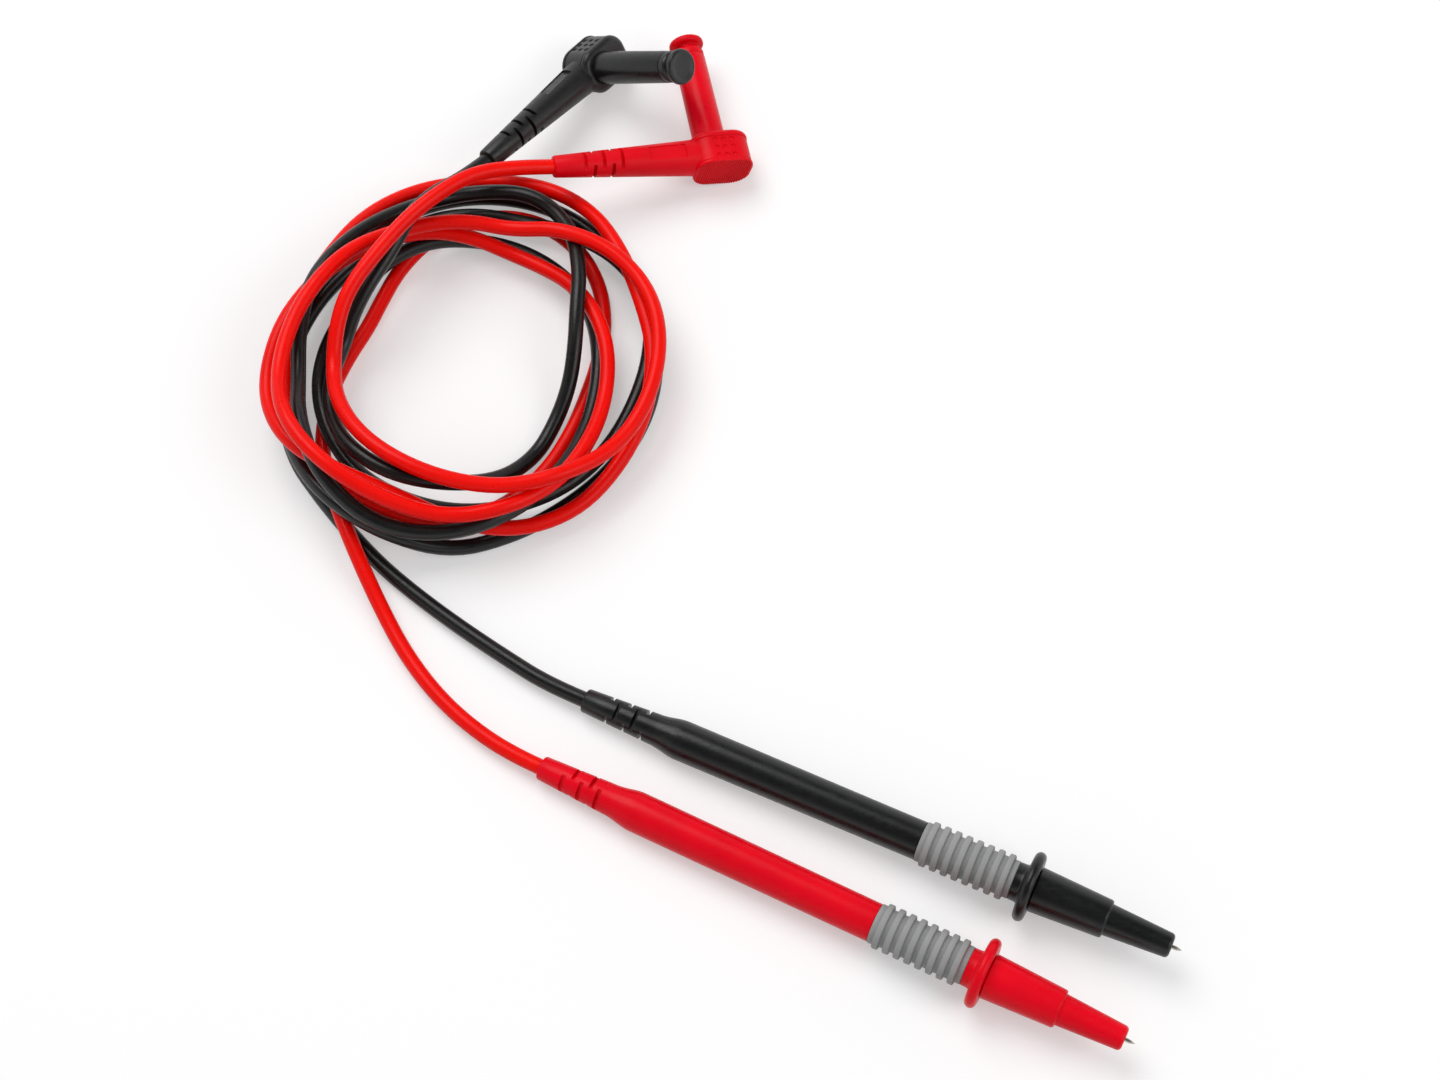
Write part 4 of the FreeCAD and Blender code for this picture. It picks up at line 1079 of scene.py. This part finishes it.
def make_pin(colour, lead):
    """The banana pin: tail, flange, collar, the waist under the spring, and a rounded nose."""
    profile = rings_at(TAIL_END, TAIL_R, [(0, -PIN_EDGE), (PIN_EDGE, 0)]) + [(SHROUD_FLOOR, TAIL_R)]
    profile += rings_at(SHROUD_FLOOR, FLANGE_R, [(0, -EDGE), (EDGE, 0)])
    profile += rings_at(FLANGE_END, FLANGE_R, [(-EDGE, 0), (0, -EDGE)]) + [(FLANGE_END, PIN_R)]
    profile += rings_at(PIN_COLLAR_END, PIN_R, [(-PIN_EDGE, 0), (0, -PIN_EDGE)])
    profile += [(PIN_COLLAR_END, WAIST_R), (WAIST_END, WAIST_R)]
    profile += rings_at(WAIST_END, PIN_R, [(0, -PIN_EDGE), (PIN_EDGE, 0)])
    profile += rings_at(PIN_END, PIN_R, PIN_NOSE)
    pin = turn(colour + "_pin_piece", profile, sides=48, closed=False)
    return finish_piece(pin, colour + "_plug_pin", shroud_frame(lead), smooth_below=34)


# %% Spring
SPRING_START, SPRING_END, SPRING_STEPS = 10.6, 21.2, 16
SPRING_WALL, SPRING_BULGE, SPRING_FULLNESS = 0.3, 0.585, 1.5
SPRING_SLOTS, SPRING_SLOT_W, SPRING_ENDS, SPRING_CUT_REACH = 6, 0.5, 2, 20


def make_spring(colour, lead):
    """A thin sleeve with bulging leaves, made by slots that cut right through it in three directions."""
    span = SPRING_END - SPRING_START
    outside = []
    for step in range(SPRING_STEPS + 1):
        t = step / SPRING_STEPS
        rise = SPRING_BULGE * math.sin(math.pi * t) ** SPRING_FULLNESS
        outside.append((SPRING_START + span * t, WAIST_R + SPRING_WALL + rise))
    inside = [(place, radius - SPRING_WALL + PLAY) for place, radius in reversed(outside)]
    spring = turn(colour + "_spring_piece", outside + inside, sides=60)
    middle = (SPRING_START + span / 2, 0, 0)
    size = (span - SPRING_ENDS, SPRING_SLOT_W, SPRING_CUT_REACH)
    for number in range(SPRING_SLOTS // 2):
        cut(spring, boxes("leaf_slot", [(middle, size)], number * 360 / SPRING_SLOTS))
    return finish_piece(spring, colour + "_pin_spring", shroud_frame(lead), smooth_below=40)


for colour in COLOURS:
    make_shroud(colour, LEADS[colour])
    make_pin(colour, LEADS[colour])
    make_spring(colour, LEADS[colour])

# %% [markdown]
# The transport cap is soft like the plug. Its hollow stem sits in the shroud. Outside there is a short
# cone, a neck for a fingernail, and a thick disc whose face is a little dished.

# %% Transport cap
STEM_START, STEM_R, STEM_INNER_R, STEM_EDGE = 22.9, 3.38, 2.75, 0.2
CAP_SEAT, CAP_SHOULDER_R, CAP_NECK_R = 30.0, 4.05, 3.0
CAP_CONE = [(0, -0.15), (0.12, -0.03), (1.3, 0), (1.65, -0.1), (2.0, -0.37), (2.3, -0.75), (2.6, -1.05)]
CAP_DISC_START, CAP_DISC_END, CAP_DISC_R = 33.3, 35.2, 4.6
CAP_DISC_BACK = [(0.06, -0.6), (0.2, -0.25), (0.5, -0.05), (0.9, 0)]
CAP_DISC_FRONT = [(-0.6, -0.02), (-0.28, -0.15), (-0.08, -0.4), (0, -0.75)]
CAP_DISH = [(-0.06, -1.05), (-0.24, -1.5), (-0.4, -2.4), (-0.4, -4.1)]


def make_cap(colour, lead):
    """The cap from the floor of its stem, round the stem's mouth and out to the middle of its dish."""
    profile = [(CAP_SEAT, STEM_INNER_R), (STEM_START, STEM_INNER_R)]
    profile += rings_at(STEM_START, STEM_R, [(0, -STEM_EDGE), (STEM_EDGE, 0)]) + [(CAP_SEAT, STEM_R)]
    profile += rings_at(CAP_SEAT, CAP_SHOULDER_R, CAP_CONE)
    profile += rings_at(CAP_DISC_START, CAP_NECK_R, [(-EDGE, 0), (0, EDGE)])
    profile += rings_at(CAP_DISC_START, CAP_DISC_R, CAP_DISC_BACK)
    profile += rings_at(CAP_DISC_END, CAP_DISC_R, CAP_DISC_FRONT + CAP_DISH)
    cap = turn(colour + "_cap_piece", profile, closed=False)
    return finish_piece(cap, colour + "_plug_cap", shroud_frame(lead), smooth_below=34)


for colour in COLOURS:
    make_cap(colour, LEADS[colour])

# %% [markdown]
# ## The pieces that stay as they are
# The crimp ferrules and the two stripped ends of each cable are closed up inside the mouldings. They
# keep the construction model's shape and only get their finishes.

# %% Finishes on the construction model
for name, node in frame["nodes"].items():
    node.data.materials.clear()
    node.data.materials.append(FINISHES[slot_of[name]])
print("finishes on", len(frame["nodes"]), "nodes")

# %% [markdown]
# Each cable stands for three nodes of the construction model, which are hidden. It hangs from the root, and
# its length is measured from the curve once more.

for colour in COLOURS:
    cable = cables[colour]
    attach(cable, "root")
    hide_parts(colour + "_cable_front", colour + "_cable_coil", colour + "_cable_rear")
    spline_length(cable)
    print(colour, "cable", round(spline_length(cable), 3), "m")
